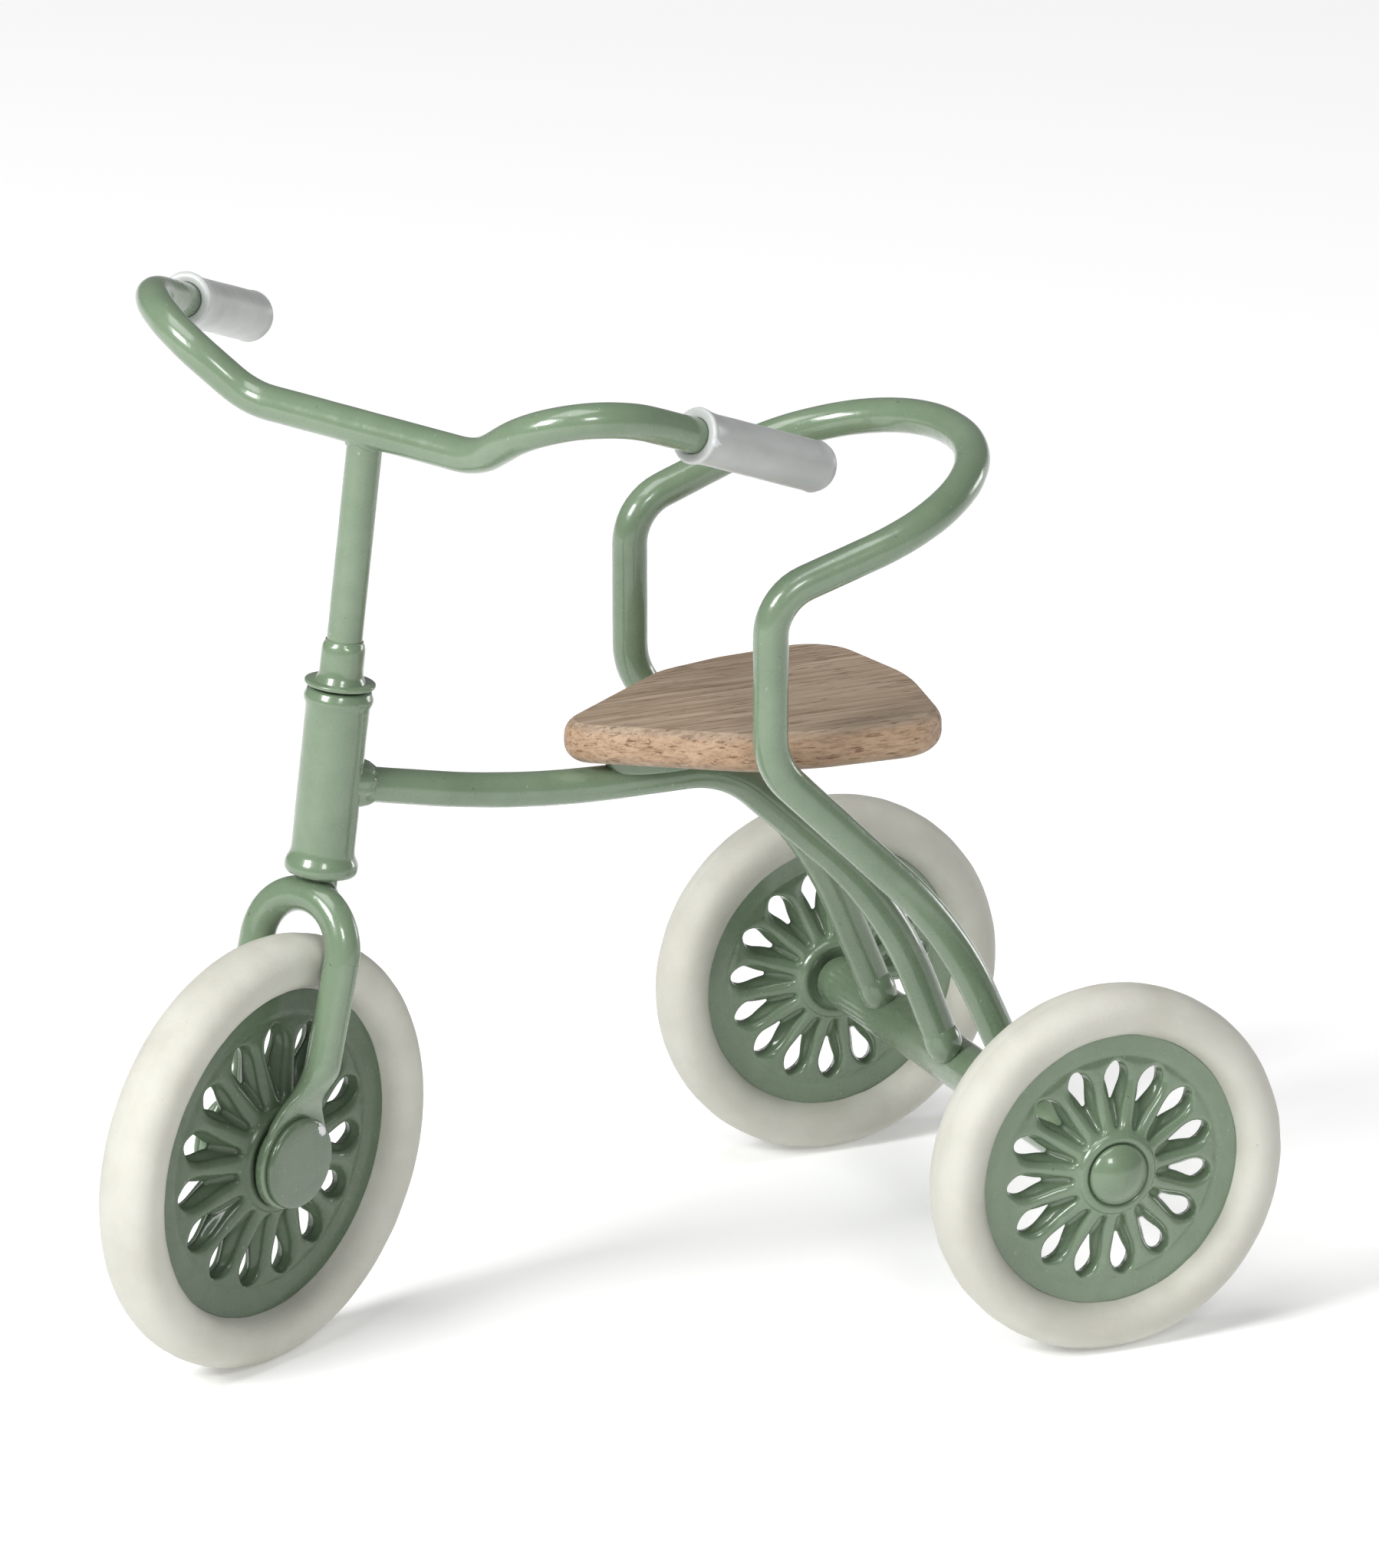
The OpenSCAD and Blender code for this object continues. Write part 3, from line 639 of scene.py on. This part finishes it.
def soft_plastic(name):
    """Milky grip plastic: cloudy grey, waxy, with faint flow marks."""
    material, tree, shader, coords = new_material(name)
    cloudy = noise_at(tree, coords, 210, 3, 0.55, (1, 0.5, 1))
    flow = noise_at(tree, coords, 900, 3, 0.6, (1, 0.3, 1))
    colour = mix(tree, ramp(tree, cloudy, 0.3, 0.7), (0.375, 0.392, 0.380), (0.45, 0.468, 0.455))
    colour = mix(tree, ramp(tree, noise_at(tree, coords, 1500, 1), 0.75, 0.79, 0, 0.4), colour, (0.25, 0.25, 0.23))
    pale = ramp(tree, tree.nodes.new("ShaderNodeNewGeometry").outputs["Pointiness"], 0.52, 0.62, 0, 0.6)
    colour = mix(tree, pale, colour, (0.80, 0.82, 0.84))
    plug(tree, shader.inputs["Base Color"], colour)
    plug(tree, shader.inputs["Roughness"], ramp(tree, flow, 0.3, 0.7, 0.30, 0.44))
    shader.inputs["Subsurface Weight"].default_value = 0.45
    shader.inputs["Subsurface Radius"].default_value = (1.0, 1.0, 0.95)
    shader.inputs["Subsurface Scale"].default_value = 0.0012
    shader.inputs["Coat Weight"].default_value = 0.15
    shader.inputs["Coat Roughness"].default_value = 0.2
    bump(tree, shader, flow, 0.00002)
    return material


def beech(name):
    """Oiled beech with its grain along the seat: pores and streaks on top, dark ray flecks on the edges."""
    material, tree, shader, coords = new_material(name)
    fibre = noise_at(tree, coords, 1.0, 5, 0.68, (2900, 85, 2300), 0.5)
    band = noise_at(tree, coords, 1.0, 4, 0.6, (420, 20, 330), 1.2)
    colour = mix(tree, ramp(tree, band, 0.34, 0.68), (0.305, 0.222, 0.156), (0.420, 0.325, 0.240))
    colour = mix(tree, ramp(tree, fibre, 0.44, 0.66, 0, 0.75), colour, (0.195, 0.132, 0.088))
    pale = ramp(tree, noise_at(tree, coords, 1.0, 3, 0.6, (3300, 60, 2600)), 0.58, 0.68, 0, 0.55)
    colour = mix(tree, pale, colour, (0.58, 0.48, 0.38))
    pore = ramp(tree, noise_at(tree, coords, 1.0, 2, 0.5, (3800, 330, 3800)), 0.64, 0.70, 0, 0.75)
    colour = mix(tree, pore, colour, (0.125, 0.080, 0.050))
    normal = tree.nodes.new("ShaderNodeSeparateXYZ")
    tree.links.new(tree.nodes.new("ShaderNodeNewGeometry").outputs["Normal"], normal.inputs[0])
    side = ramp(tree, maths(tree, "ABSOLUTE", normal.outputs["Z"]), 0.35, 0.85, 1, 0)
    edge = mix(tree, ramp(tree, band, 0.3, 0.7), (0.36, 0.230, 0.140), (0.47, 0.325, 0.215))
    fleck = ramp(tree, noise_at(tree, coords, 1.0, 2, 0.5, (1500, 420, 3000)), 0.60, 0.67, 0, 0.8)
    short = ramp(tree, noise_at(tree, coords, 1.0, 5, 0.75, (1500, 500, 3000)), 0.42, 0.64, 0, 0.65)
    edge = mix(tree, short, edge, (0.215, 0.130, 0.074))
    edge = mix(tree, fleck, edge, (0.135, 0.075, 0.036))
    colour = mix(tree, side, colour, edge)
    # A fixed pale patch on the seat's front left edge, lighter than the rest of that edge.
    pale = maths(tree, "MULTIPLY", spot(tree, coords, (9.5, -33.0, 55.6), 3.2), side)
    colour = mix(tree, ramp(tree, pale, 0.15, 0.75, 0, 0.6), colour, (0.74, 0.60, 0.44))
    plug(tree, shader.inputs["Base Color"], colour)
    plug(tree, shader.inputs["Roughness"], ramp(tree, fibre, 0.3, 0.8, 0.46, 0.64))
    shader.inputs["Specular IOR Level"].default_value = 0.4
    height = maths(tree, "SUBTRACT", maths(tree, "MULTIPLY", fibre, -1.0), maths(tree, "MULTIPLY", pore, 0.8))
    bump(tree, shader, height, 0.00010)
    return material


def bare_steel(name):
    """Turned steel of the axles, sleeves and bushes."""
    material, tree, shader, coords = new_material(name)
    lines = noise_at(tree, coords, 1.0, 4, 0.6, (4200, 700, 700))
    tone = noise_at(tree, coords, 260, 3)
    colour = mix(tree, ramp(tree, tone, 0.3, 0.7), (0.42, 0.415, 0.40), (0.56, 0.555, 0.54))
    colour = mix(tree, ramp(tree, noise_at(tree, coords, 900, 3), 0.62, 0.72, 0, 0.5), colour, (0.22, 0.19, 0.15))
    plug(tree, shader.inputs["Base Color"], colour)
    plug(tree, shader.inputs["Roughness"], ramp(tree, lines, 0.3, 0.7, 0.25, 0.45))
    shader.inputs["Metallic"].default_value = 1.0
    bump(tree, shader, lines, 0.00001)
    return material


PAINT = enamel("sage_enamel")
# The front wheel's discs: the same enamel darkened to tone 0.62, which is painted shade.
PAINT_FRONT_WHEEL_SHADED = enamel("sage_enamel_front_wheel_painted_shade", None, 0.62, 0.15)
# The near axle button: a real chip down to the metal, and the enamel darkened to tone 0.68, which is painted shade.
PAINT_CHIPPED_SHADED = enamel("sage_enamel_chipped_shaded", (AT_FRONT @ Vector((-3.1, 2.35, 4.85)), 1.7), 0.68, 0.5)
CREAM = rubber("cream_rubber")
PLASTIC = soft_plastic("milky_plastic")
WOOD = beech("oiled_beech")
STEEL = bare_steel("turned_steel")

# ------------------------------------------------------------------ wheels in place
rear_disc = pressed_disc(REAR_DISC, REAR_RING)
front_disc = pressed_disc(FRONT_DISC, FRONT_RING)
rear_tyre = tyre_part(REAR_R, REAR_DISC)
front_tyre = tyre_part(FRONT_R, FRONT_DISC)
FLIP_Z = Matrix.Diagonal((1, 1, -1, 1))
for name, disc, tyre, at, faces_out in (
        ("front", front_disc, front_tyre, AT_FRONT @ rot("Z", FRONT_SPIN), ("left", "right")),
        ("rear_left", rear_disc, rear_tyre, at_rear(1) @ rot("Z", LEFT_SPIN), ("outer", "inner")),
        ("rear_right", rear_disc, rear_tyre, at_rear(-1), ("outer", "inner"))):
    pair = ([f"front_disc_{f}" for f in faces_out] if name == "front"
            else [f"rear_disc_{name[5:]}_{f}" for f in faces_out])
    # Both front discs take the darker enamel, which is painted shade.
    paint = PAINT_FRONT_WHEEL_SHADED if name == "front" else PAINT
    make(pair[0] + "_pressed", [placed(disc, at)], paint, [pair[0]], 60)
    make(pair[1] + "_pressed", [placed(disc, at @ FLIP_Z)], paint, [pair[1]], 60)
    tyre_node = "front_tyre" if name == "front" else f"rear_tyre_{name[5:]}"
    make(tyre_node + "_rubber", [placed(tyre, at)], CREAM, [tyre_node], 50)

# Domed hub caps
foot = HUB_H - HUB_STEP + SIDE_GAP
dome_r = (CAP_R ** 2 + CAP_DOME ** 2) / (2 * CAP_DOME)
dome_a = math.asin(CAP_R / dome_r)
cap_profile = [(0, foot), (CAP_R - 0.12, foot), (CAP_R, foot + 0.1), (CAP_R, foot + 0.24)]
cap_profile += [(dome_r * math.sin(dome_a * (1 - i / 14)),
                 foot + 0.3 + CAP_DOME - dome_r * (1 - math.cos(dome_a * (1 - i / 14)))) for i in range(1, 14)]
cap_profile.append((0, foot + 0.3 + CAP_DOME))
for side, name in ((1, "left"), (-1, "right")):
    make(f"hub_cap_{name}", [placed(lathe(cap_profile, 96, False), at_rear(side))],
         PAINT, [f"rear_cap_{name}"], 45)

# ------------------------------------------------------------------ frame
head_profile = [(BUSH_R, HEAD_LOW), (BEAD_R - 0.45, HEAD_LOW), (BEAD_R - 0.2, HEAD_LOW + 0.06),
                (BEAD_R - 0.04, HEAD_LOW + 0.28),
                (BEAD_R, HEAD_LOW + 0.6), (BEAD_R - 0.02, HEAD_LOW + 0.95), (BEAD_R - 0.14, HEAD_LOW + 1.3),
                (HEAD_R + 0.12, HEAD_LOW + 1.65), (HEAD_R + 0.02, HEAD_LOW + 2.1), (HEAD_R, HEAD_LOW + 2.6)]
head_profile += [(HEAD_R, HEAD_LOW + 2.6 + k) for k in range(1, 13)]
head_profile += [(HEAD_R + 0.01, HEAD_HIGH - 1.85), (HEAD_R + 0.07, HEAD_HIGH - 1.55),
                 (HEAD_R + 0.2, HEAD_HIGH - 1.25),
                 (HEAD_R + 0.27, HEAD_HIGH - 0.95), (HEAD_R + 0.22, HEAD_HIGH - 0.65), (HEAD_R + 0.1, HEAD_HIGH - 0.42),
                 (HEAD_R + 0.05, HEAD_HIGH - 0.2), (HEAD_R - 0.08, HEAD_HIGH - 0.03),
                 (HEAD_R - 0.25, HEAD_HIGH), (BUSH_R, HEAD_HIGH)]
make("head_tube_rolled", [placed(lathe(head_profile, 96, True, 0.035), AT_HEAD)], PAINT, ["head_tube"], 50)


def mirrored(p):
    """The point's twin on the tricycle's other side."""
    return Vector((-p.x, p.y, p.z))


# Bend radius at each point of a rod's line, 0 at its ends
TUBE_BENDS = (0, 100, 10, 40, 0)
LOOP_BENDS = (0, 40, 7, 5, 16, 16, 5, 7, 40, 0)
BAR_BENDS = (0, 8.2, 6.6, 6.6, 8.2, 0)
FOOT_CUT = 1.3  # by how much a visual rod stops short of its end on the housing
tube_pts = [Vector(p) for p in ((0, -64.8, 54.8), (0, -45, 50.8), (0, -24.8, 50.8), (0, -7.9, 35.1), (0, -1.3, 18.1))]


def foot_end(a, b):
    """The rod's end, drawn back into the weld on the housing."""
    return b - (b - a).normalized() * FOOT_CUT


tube_start = tube_pts[0] + (tube_pts[0] - tube_pts[1]).normalized() * 1.2
tube_line = [tube_start] + tube_pts[1:-1] + [foot_end(tube_pts[-2], tube_pts[-1])]
make("main_tube_bent", [sweep(bent_path(tube_line, TUBE_BENDS), ROD_R)], PAINT, ["main_tube"])

head_axis = (AT_HEAD @ Vector((0, 0, 1))) - (AT_HEAD @ Vector((0, 0, 0)))
head_weld = weld(tube_pts[0] + Vector((0, 8, -1.6)), Vector((0, -19.8, 4)), ROD_R, AT_HEAD @ Vector((0, 0, 0)),
                 head_axis, HEAD_R, 0.62, 1.5, 1.7, 1.3)
make("head_weld", [head_weld], PAINT, ["head_collar"], 60)

half_loop = [Vector(p) for p in (
    (16, -0.5, 18.2), (15.2, -8.55, 36.9), (15.5, -27.4, 55.7), (15.6, -27.4, 71.9), (17.4, -1.5, 80.5))]
leg_line = [foot_end(half_loop[1], half_loop[0])] + half_loop[1:]
loop_pts = leg_line + [mirrored(p) for p in leg_line[::-1]]
make("backrest_bent", [sweep(bent_path(loop_pts, LOOP_BENDS), ROD_R)], PAINT, ["backrest_loop"])

HOUSING_BORE = 1.25
housing_profile = [(HOUSING_BORE, -HOUSING_HALF), (HOUSING_R - 0.22, -HOUSING_HALF),
                   (HOUSING_R - 0.05, -HOUSING_HALF + 0.08), (HOUSING_R, -HOUSING_HALF + 0.25)]
housing_profile += [(HOUSING_R, -27 + k * 1.5) for k in range(1, 36)]
housing_profile += [(HOUSING_R, HOUSING_HALF - 0.25), (HOUSING_R - 0.05, HOUSING_HALF - 0.08),
                    (HOUSING_R - 0.22, HOUSING_HALF), (HOUSING_BORE, HOUSING_HALF)]
housing = [placed(lathe(housing_profile, 64, True, 0.03), move(0, 0, AXLE_Z) @ rot("Y", 90))]
for i, (a, b) in enumerate(((tube_pts[-2], tube_pts[-1]), (half_loop[1], half_loop[0]),
                            (mirrored(half_loop[1]), mirrored(half_loop[0])))):
    housing.append(blob(b - (b - a).normalized() * 2.6, b - a, 2.45, 1.82, 1.98 + 0.08 * i, 0.09))
make("axle_housing_welded", housing, PAINT, ["rear_axle_housing"], 60)

PLATE_Y, PLATE_HALF_W, PLATE_HALF_LEN = -30.5, 2.25, 6.4
plate = lathe([(0, SEAT_Z - 1.9), (0.9, SEAT_Z - 1.9), (0.97, SEAT_Z - 1.82), (1, SEAT_Z - 1.6), (1, SEAT_Z - 0.2),
               (0.98, SEAT_Z - 0.06), (0.93, SEAT_Z - 0.01), (0, SEAT_Z - 0.01)], 96, False)
at_plate = move(0, PLATE_Y, 0) @ Matrix.Diagonal((PLATE_HALF_W, PLATE_HALF_LEN, 1, 1))
make("saddle_plate_rounded", [placed(plate, at_plate)], PAINT, ["seat_plate"], 50)


# ------------------------------------------------------------------ seat
def seat_outline(count=260):
    """The seat's outline, the hull of its corner circles, evenly spaced."""
    circles = [((0, -37.9), 3.0), ((0, -18.4), 12.9)]
    circles += [((s * 7.7, -12.4), 5.6) for s in (-1, 1)] + [((s * 2.9, -23.4), 9.0) for s in (-1, 1)]
    centre = Vector((0, -20.5))
    hull = []
    for k in range(1440):
        d = Vector((math.cos(k * math.pi / 720), math.sin(k * math.pi / 720)))
        (cx, cy), cr = max(circles, key=lambda c: c[0][0] * d.x + c[0][1] * d.y + c[1])
        hull.append(Vector((cx, cy)) + d * cr)
    lengths = [0.0]
    for a, b in zip(hull, hull[1:] + hull[:1]):
        lengths.append(lengths[-1] + (b - a).length)
    out, i = [], 0
    for k in range(count):
        want = lengths[-1] * k / count
        while lengths[i + 1] < want:
            i += 1
        t = (want - lengths[i]) / max(lengths[i + 1] - lengths[i], 1e-9)
        out.append(hull[i].lerp(hull[(i + 1) % len(hull)], t))
    return out, centre


def seat_part():
    """The board: rounded edges between two flat faces, each closed in rings to its middle."""
    outline, centre = seat_outline()
    n = len(outline)
    normals = []
    for i in range(n):
        t = (outline[(i + 1) % n] - outline[i - 1]).normalized()
        normals.append(Vector((t.y, -t.x)))
    section = []
    top_r, low_r, brow = 1.9, 1.75, math.radians(58)
    for k in range(9):
        a = brow * (1 - k / 8)
        section.append((low_r * (1 - math.cos(a)), low_r * (math.sin(brow) - math.sin(a))))
    for k in range(1, 9):
        a = brow * k / 8
        section.append((top_r * (1 - math.cos(a)), SEAT_T - top_r * (math.sin(brow) - math.sin(a))))
    verts, faces = [], []
    for inset, z in section:
        for p, m in zip(outline, normals):
            q = p - m * inset
            uneven = 0.04 * noise.noise(Vector((q.x * 0.2, q.y * 0.2, z))) if 0.3 < z < 3.5 else 0
            verts.append(Vector((q.x, q.y, SEAT_Z + z + uneven)))
    rows = len(section)
    for i in range(rows - 1):
        for k in range(n):
            j = (k + 1) % n
            faces.append([i * n + k, i * n + j, (i + 1) * n + j, (i + 1) * n + k])
    for base_row, z, flip in ((rows - 1, SEAT_T, False), (0, 0.0, True)):
        last = base_row * n
        for share in (0.9, 0.75, 0.55, 0.32, 0.12):
            start = len(verts)
            for k in range(n):
                q = Vector(verts[base_row * n + k].xy)
                q = centre + (q - centre) * share
                verts.append(Vector((q.x, q.y, SEAT_Z + z)))
            for k in range(n):
                j = (k + 1) % n
                f = [last + k, last + j, start + j, start + k]
                faces.append(f[::-1] if flip else f)
            last = start
        hub = len(verts)
        verts.append(Vector((centre.x, centre.y, SEAT_Z + z)))
        for k in range(n):
            f = [last + k, last + (k + 1) % n, hub]
            faces.append(f[::-1] if flip else f)
    return verts, faces


make("seat_board_turned", [seat_part()], WOOD, ["seat_board"], 17)

# ------------------------------------------------------------------ steering
STEM_LOW, STEM_STEP = 26.4, 0.9
stem_line = [AT_STEER @ Vector((0, 0, STEM_LOW + k * STEM_STEP)) for k in range(50)]
stem_line.append(AT_STEER @ Vector((0, 0, BAR_H)))
arch_top = AT_FORK @ Vector((0, 0, LEG_LEN + FORK_X))
bar_dir = (AT_BAR @ Vector((1, 0, 0))) - (AT_BAR @ Vector((0, 0, 0)))
stem_axis = (AT_STEER @ Vector((0, 0, 1))) - (AT_STEER @ Vector((0, 0, 0)))
stem_parts = [sweep(stem_line, ROD_R)]
stem_parts.append(weld(AT_STEER @ Vector((0, 0, BAR_H - 6)), stem_axis, ROD_R, AT_BAR @ Vector((0, -0.5, BAR_H)),
                       bar_dir, ROD_R + 0.01, 0.22, 0.34, 5.2, 0.9))
make("stem_rod", stem_parts, PAINT, ["steering_stem"], 60)


def fork_leg(side):
    """One leg: round rod at the arch, flattened and widened towards its eye."""
    verts, faces, sides, levels = [], [], 40, []
    steps = 58
    for i in range(steps + 1):
        z = LEG_LEN + 0.05 - (LEG_LEN - 1.2) * i / steps
        t = min(max((9.6 - z) / 5.2, 0), 1)
        t = t * t * (3 - 2 * t)
        w = min(max((7.6 - z) / 5.4, 0), 1)
        w = w * w * (3 - 2 * w)
        inner = (FORK_X - ROD_R) * (1 - t) + EYE_IN * t
        outer = (FORK_X + ROD_R) * (1 - t) + (EYE_IN + EYE_T + 0.05) * t
        levels.append((z, (inner + outer) / 2, (outer - inner) / 2, ROD_R + 2.35 * w, 2 + 1.6 * t))
    for z, cx, hx, hy, power in levels:
        for k in range(sides):
            a = 2 * math.pi * k / sides
            c, s = math.cos(a), math.sin(a)
            x = cx + hx * math.copysign(abs(c) ** (2 / power), c)
            y = hy * math.copysign(abs(s) ** (2 / power), s)
            verts.append(Vector((side * x, y, z)))
    for i in range(len(levels) - 1):
        for k in range(sides):
            j = (k + 1) % sides
            f = [i * sides + k, (i + 1) * sides + k, (i + 1) * sides + j, i * sides + j]
            faces.append(f if side > 0 else f[::-1])
    caps = [list(range(sides)), [(len(levels) - 1) * sides + k for k in range(sides)][::-1]]
    faces += caps if side > 0 else [c[::-1] for c in caps]
    return verts, faces


def disc_plate(radius, low, high, edge, bore=0.0, steps=4):
    """Profile, for lathe, of a flat round plate with rounded edges."""
    profile = [(bore, low)]
    for k in range(steps + 1):
        a = math.pi / 2 * k / steps
        profile.append((radius - edge * (1 - math.sin(a)), low + edge * (1 - math.cos(a))))
    for k in range(steps + 1):
        a = math.pi / 2 * k / steps
        profile.append((radius - edge * (1 - math.cos(a)), high - edge * (1 - math.sin(a))))
    profile.append((bore, high))
    return profile


EYE_BORE, PIN_R = 1.23, 1.2
fork_parts = []
arch = [AT_FORK @ Vector((FORK_X * math.cos(math.pi * k / 40), 0, LEG_LEN + FORK_X * math.sin(math.pi * k / 40)))
        for k in range(41)]
arch_axis = (AT_FORK @ Vector((1, 0, 0))) - (AT_FORK @ Vector((0, 0, 0)))
fork_parts.append(sweep(arch, ROD_R, 40))
for side in (1, -1):
    fork_parts.append(placed(fork_leg(side), AT_FORK))
    eye_plate = lathe(disc_plate(EYE_R, EYE_IN, EYE_IN + EYE_T, 0.38, EYE_BORE), 96)
    fork_parts.append(placed(eye_plate, AT_FORK @ rot("Y", 90 * side)))
fork_parts.append(weld(AT_STEER @ Vector((0, 0, 34)), -stem_axis, ROD_R, arch_top, arch_axis,
                       ROD_R + 0.02, 0.25, 0.5, 8.8, 0.8))
make("fork_bent", fork_parts, PAINT, ["fork"], 60)

button = disc_plate(BUTTON_R, 0, BUTTON_T, 0.5, 0.0, 6)
button = button[:-1] + [(2.9, BUTTON_T + 0.015), (1.4, BUTTON_T + 0.03), (0, BUTTON_T + 0.035)]
EYE_OUT = EYE_IN + EYE_T
pin = [(0, -EYE_OUT - 0.4), (PIN_R, -EYE_OUT - 0.4), (PIN_R, EYE_OUT + 0.1), (0, EYE_OUT + 0.1)]
# The near button's paint has a real chip, and its darker tone is painted shade.
make("axle_pin_left",
     [placed(lathe(button, 96, False), AT_FRONT @ move(0, 0, EYE_OUT)), placed(lathe(pin, 48, False), AT_FRONT)],
     PAINT_CHIPPED_SHADED, ["front_axle"], 50)
make("axle_button_right", [placed(lathe(button, 96, False), AT_FRONT @ FLIP_Z @ move(0, 0, EYE_OUT))],
     PAINT, ["front_axle_button"], 50)

washer = disc_plate(3.3, HEAD_HIGH + 0.3, HEAD_HIGH + 0.7, 0.16, ROD_R + 0.03)
make("stem_washer_round", [placed(lathe(washer, 96), AT_STEER)], PAINT, ["stem_washer"], 50)


def ferrule_part():
    """Sleeve crimped on the stem: flared foot, four soft flats and a rolled lip that hugs the rod."""
    z0 = HEAD_HIGH + 0.7
    rows = [(2.36, 0), (2.3, 0.16), (2.14, 0.42), (2.07, 0.8), (2.06, 1.4), (2.06, 2.2), (2.05, 2.9), (2.02, 3.2),
            (1.95, 3.45), (1.84, 3.62), (1.78, 3.72), (1.76, 3.86), (1.69, 3.9), (1.68, 0)]
    verts, faces, segs = [], [], 96
    for i, (r, z) in enumerate(rows):
        crimped = 3 <= i <= 8
        for k in range(segs):
            a = 2 * math.pi * k / segs
            flat = 0.0
            if crimped:
                for facing in (-64, 26, 116, 206):
                    d = math.cos(a - math.radians(facing))
                    flat = max(flat, (d - 0.80) / 0.20)
            rr = r - 0.10 * flat + (0.05 if crimped else 0)
            verts.append(Vector((rr * math.cos(a), rr * math.sin(a), z0 + z)))
    for i in range(len(rows)):
        for k in range(segs):
            j = (k + 1) % segs
            n = (i + 1) % len(rows)
            faces.append([i * segs + k, i * segs + j, n * segs + j, n * segs + k])
    return verts, faces


make("ferrule_crimped", [placed(ferrule_part(), AT_STEER)], PAINT, ["stem_ferrule"], 50)

half_bar = [Vector((12.7, -0.5, BAR_H)), Vector((25.2, -5.3, 79.9)), Vector((32, 27.6, 70.4))]
grip_dir = (half_bar[2] - half_bar[1]).normalized()
bar_half = half_bar[:2] + [half_bar[2] - grip_dir * 1.5]
bar_pts = [AT_BAR @ mirrored(p) for p in bar_half[::-1]] + [AT_BAR @ p for p in bar_half]
make("handlebar_bent", [sweep(bent_path(bar_pts, BAR_BENDS), ROD_R)], PAINT, ["handlebar"])

grip_profile = [(ROD_R + 0.05, 0.12), (ROD_R + 0.25, 0.02), (GRIP_R - 0.05, 0), (GRIP_R + 0.16, 0.07),
                (GRIP_R + 0.24, 0.25), (GRIP_R + 0.20, 0.55), (GRIP_R + 0.10, 1.0), (GRIP_R + 0.03, 1.7)]
grip_profile += [(GRIP_R, 2.4 + k * 1.2) for k in range(12)]
grip_profile += [(GRIP_R - 0.01, 16.72), (GRIP_R + 0.03, 16.8), (GRIP_R + 0.04, 16.88), (GRIP_R + 0.02, 16.95),
                 (GRIP_R - 0.06, 17.0), (GRIP_R - 0.08, 17.15), (GRIP_R - 0.14, 17.42), (GRIP_R - 0.32, 17.75),
                 (GRIP_R - 0.62, 18.0),
                 (GRIP_R - 1.1, 18.15), (GRIP_R - 1.7, GRIP_LEN), (0, GRIP_LEN), (0, 17.7), (ROD_R + 0.05, 17.7)]
for side, name in ((1, "left"), (-1, "right")):
    end = half_bar[2] if side > 0 else mirrored(half_bar[2])
    d = grip_dir if side > 0 else mirrored(grip_dir)
    turn = d.to_track_quat("Z", "Y").to_matrix().to_4x4()
    at = AT_BAR @ Matrix.Translation(end - d * GRIP_LEN) @ turn
    make(f"grip_{name}_moulded", [placed(lathe(grip_profile, 72, True, 0.02), at)],
         PLASTIC, [f"grip_{name}"], 50)

# CAD nodes that stay: axle, sleeves and bushes, inside their neighbours
for n in ("rear_axle", "front_sleeve", "rear_sleeve_left", "rear_sleeve_right", "head_bush_lower", "head_bush_upper"):
    nodes[n].data.materials.clear()
    nodes[n].data.materials.append(STEEL)

# ------------------------------------------------------------------ stage and light
floor_mesh = bpy.data.meshes.new("floor")
FLOOR = 12.0  # metres from the middle to an edge
floor_corners = [(-FLOOR, -FLOOR, 0), (FLOOR, -FLOOR, 0), (FLOOR, FLOOR, 0), (-FLOOR, FLOOR, 0)]
floor_mesh.from_pydata(floor_corners, [], [(0, 1, 2, 3)])
floor = bpy.data.objects.new("floor", floor_mesh)
bpy.context.scene.collection.objects.link(floor)
floor_mat, tree, shader, coords = new_material("pale_floor")
shade = mix(tree, noise_at(tree, coords, 3.0, 2), (0.93, 0.93, 0.93), (0.95, 0.95, 0.95))
plug(tree, shader.inputs["Base Color"], shade)
shader.inputs["Roughness"].default_value = 0.9
shader.inputs["Emission Color"].default_value = (1, 1, 1, 1)
shader.inputs["Emission Strength"].default_value = 0.22
shader.inputs["Specular IOR Level"].default_value = 0.1
floor_mesh.materials.append(floor_mat)

world = bpy.data.worlds.new("studio")
world.use_nodes = True
world.node_tree.nodes["Background"].inputs["Color"].default_value = (1, 1, 1, 1)
world.node_tree.nodes["Background"].inputs["Strength"].default_value = 0.20
bpy.context.scene.world = world

target = Vector((0, -35, 45)) * MM


def soft_light(name, direction, distance, size, watts):
    data = bpy.data.lights.new(name, "AREA")
    data.shape, data.size, data.energy = "SQUARE", size, watts
    light = bpy.data.objects.new(name, data)
    light.location = target + direction.normalized() * distance
    light.rotation_mode = "QUATERNION"
    light.rotation_quaternion = direction.to_track_quat("Z", "Y")
    bpy.context.scene.collection.objects.link(light)


soft_light("key", Vector((0.25, -0.85, 0.62)), 1.0, 0.34, 8)
soft_light("top", Vector((0.1, -0.25, 1)), 1.5, 0.9, 10)
soft_light("fill", Vector((0.84, -0.19, 0.55)), 1.2, 0.24, 3.0)
soft_light("rim", right - back * 0.75 + Vector((0, 0, 0.25)), 1.0, 0.3, 1.6)
bpy.context.scene.view_settings.view_transform = "Standard"
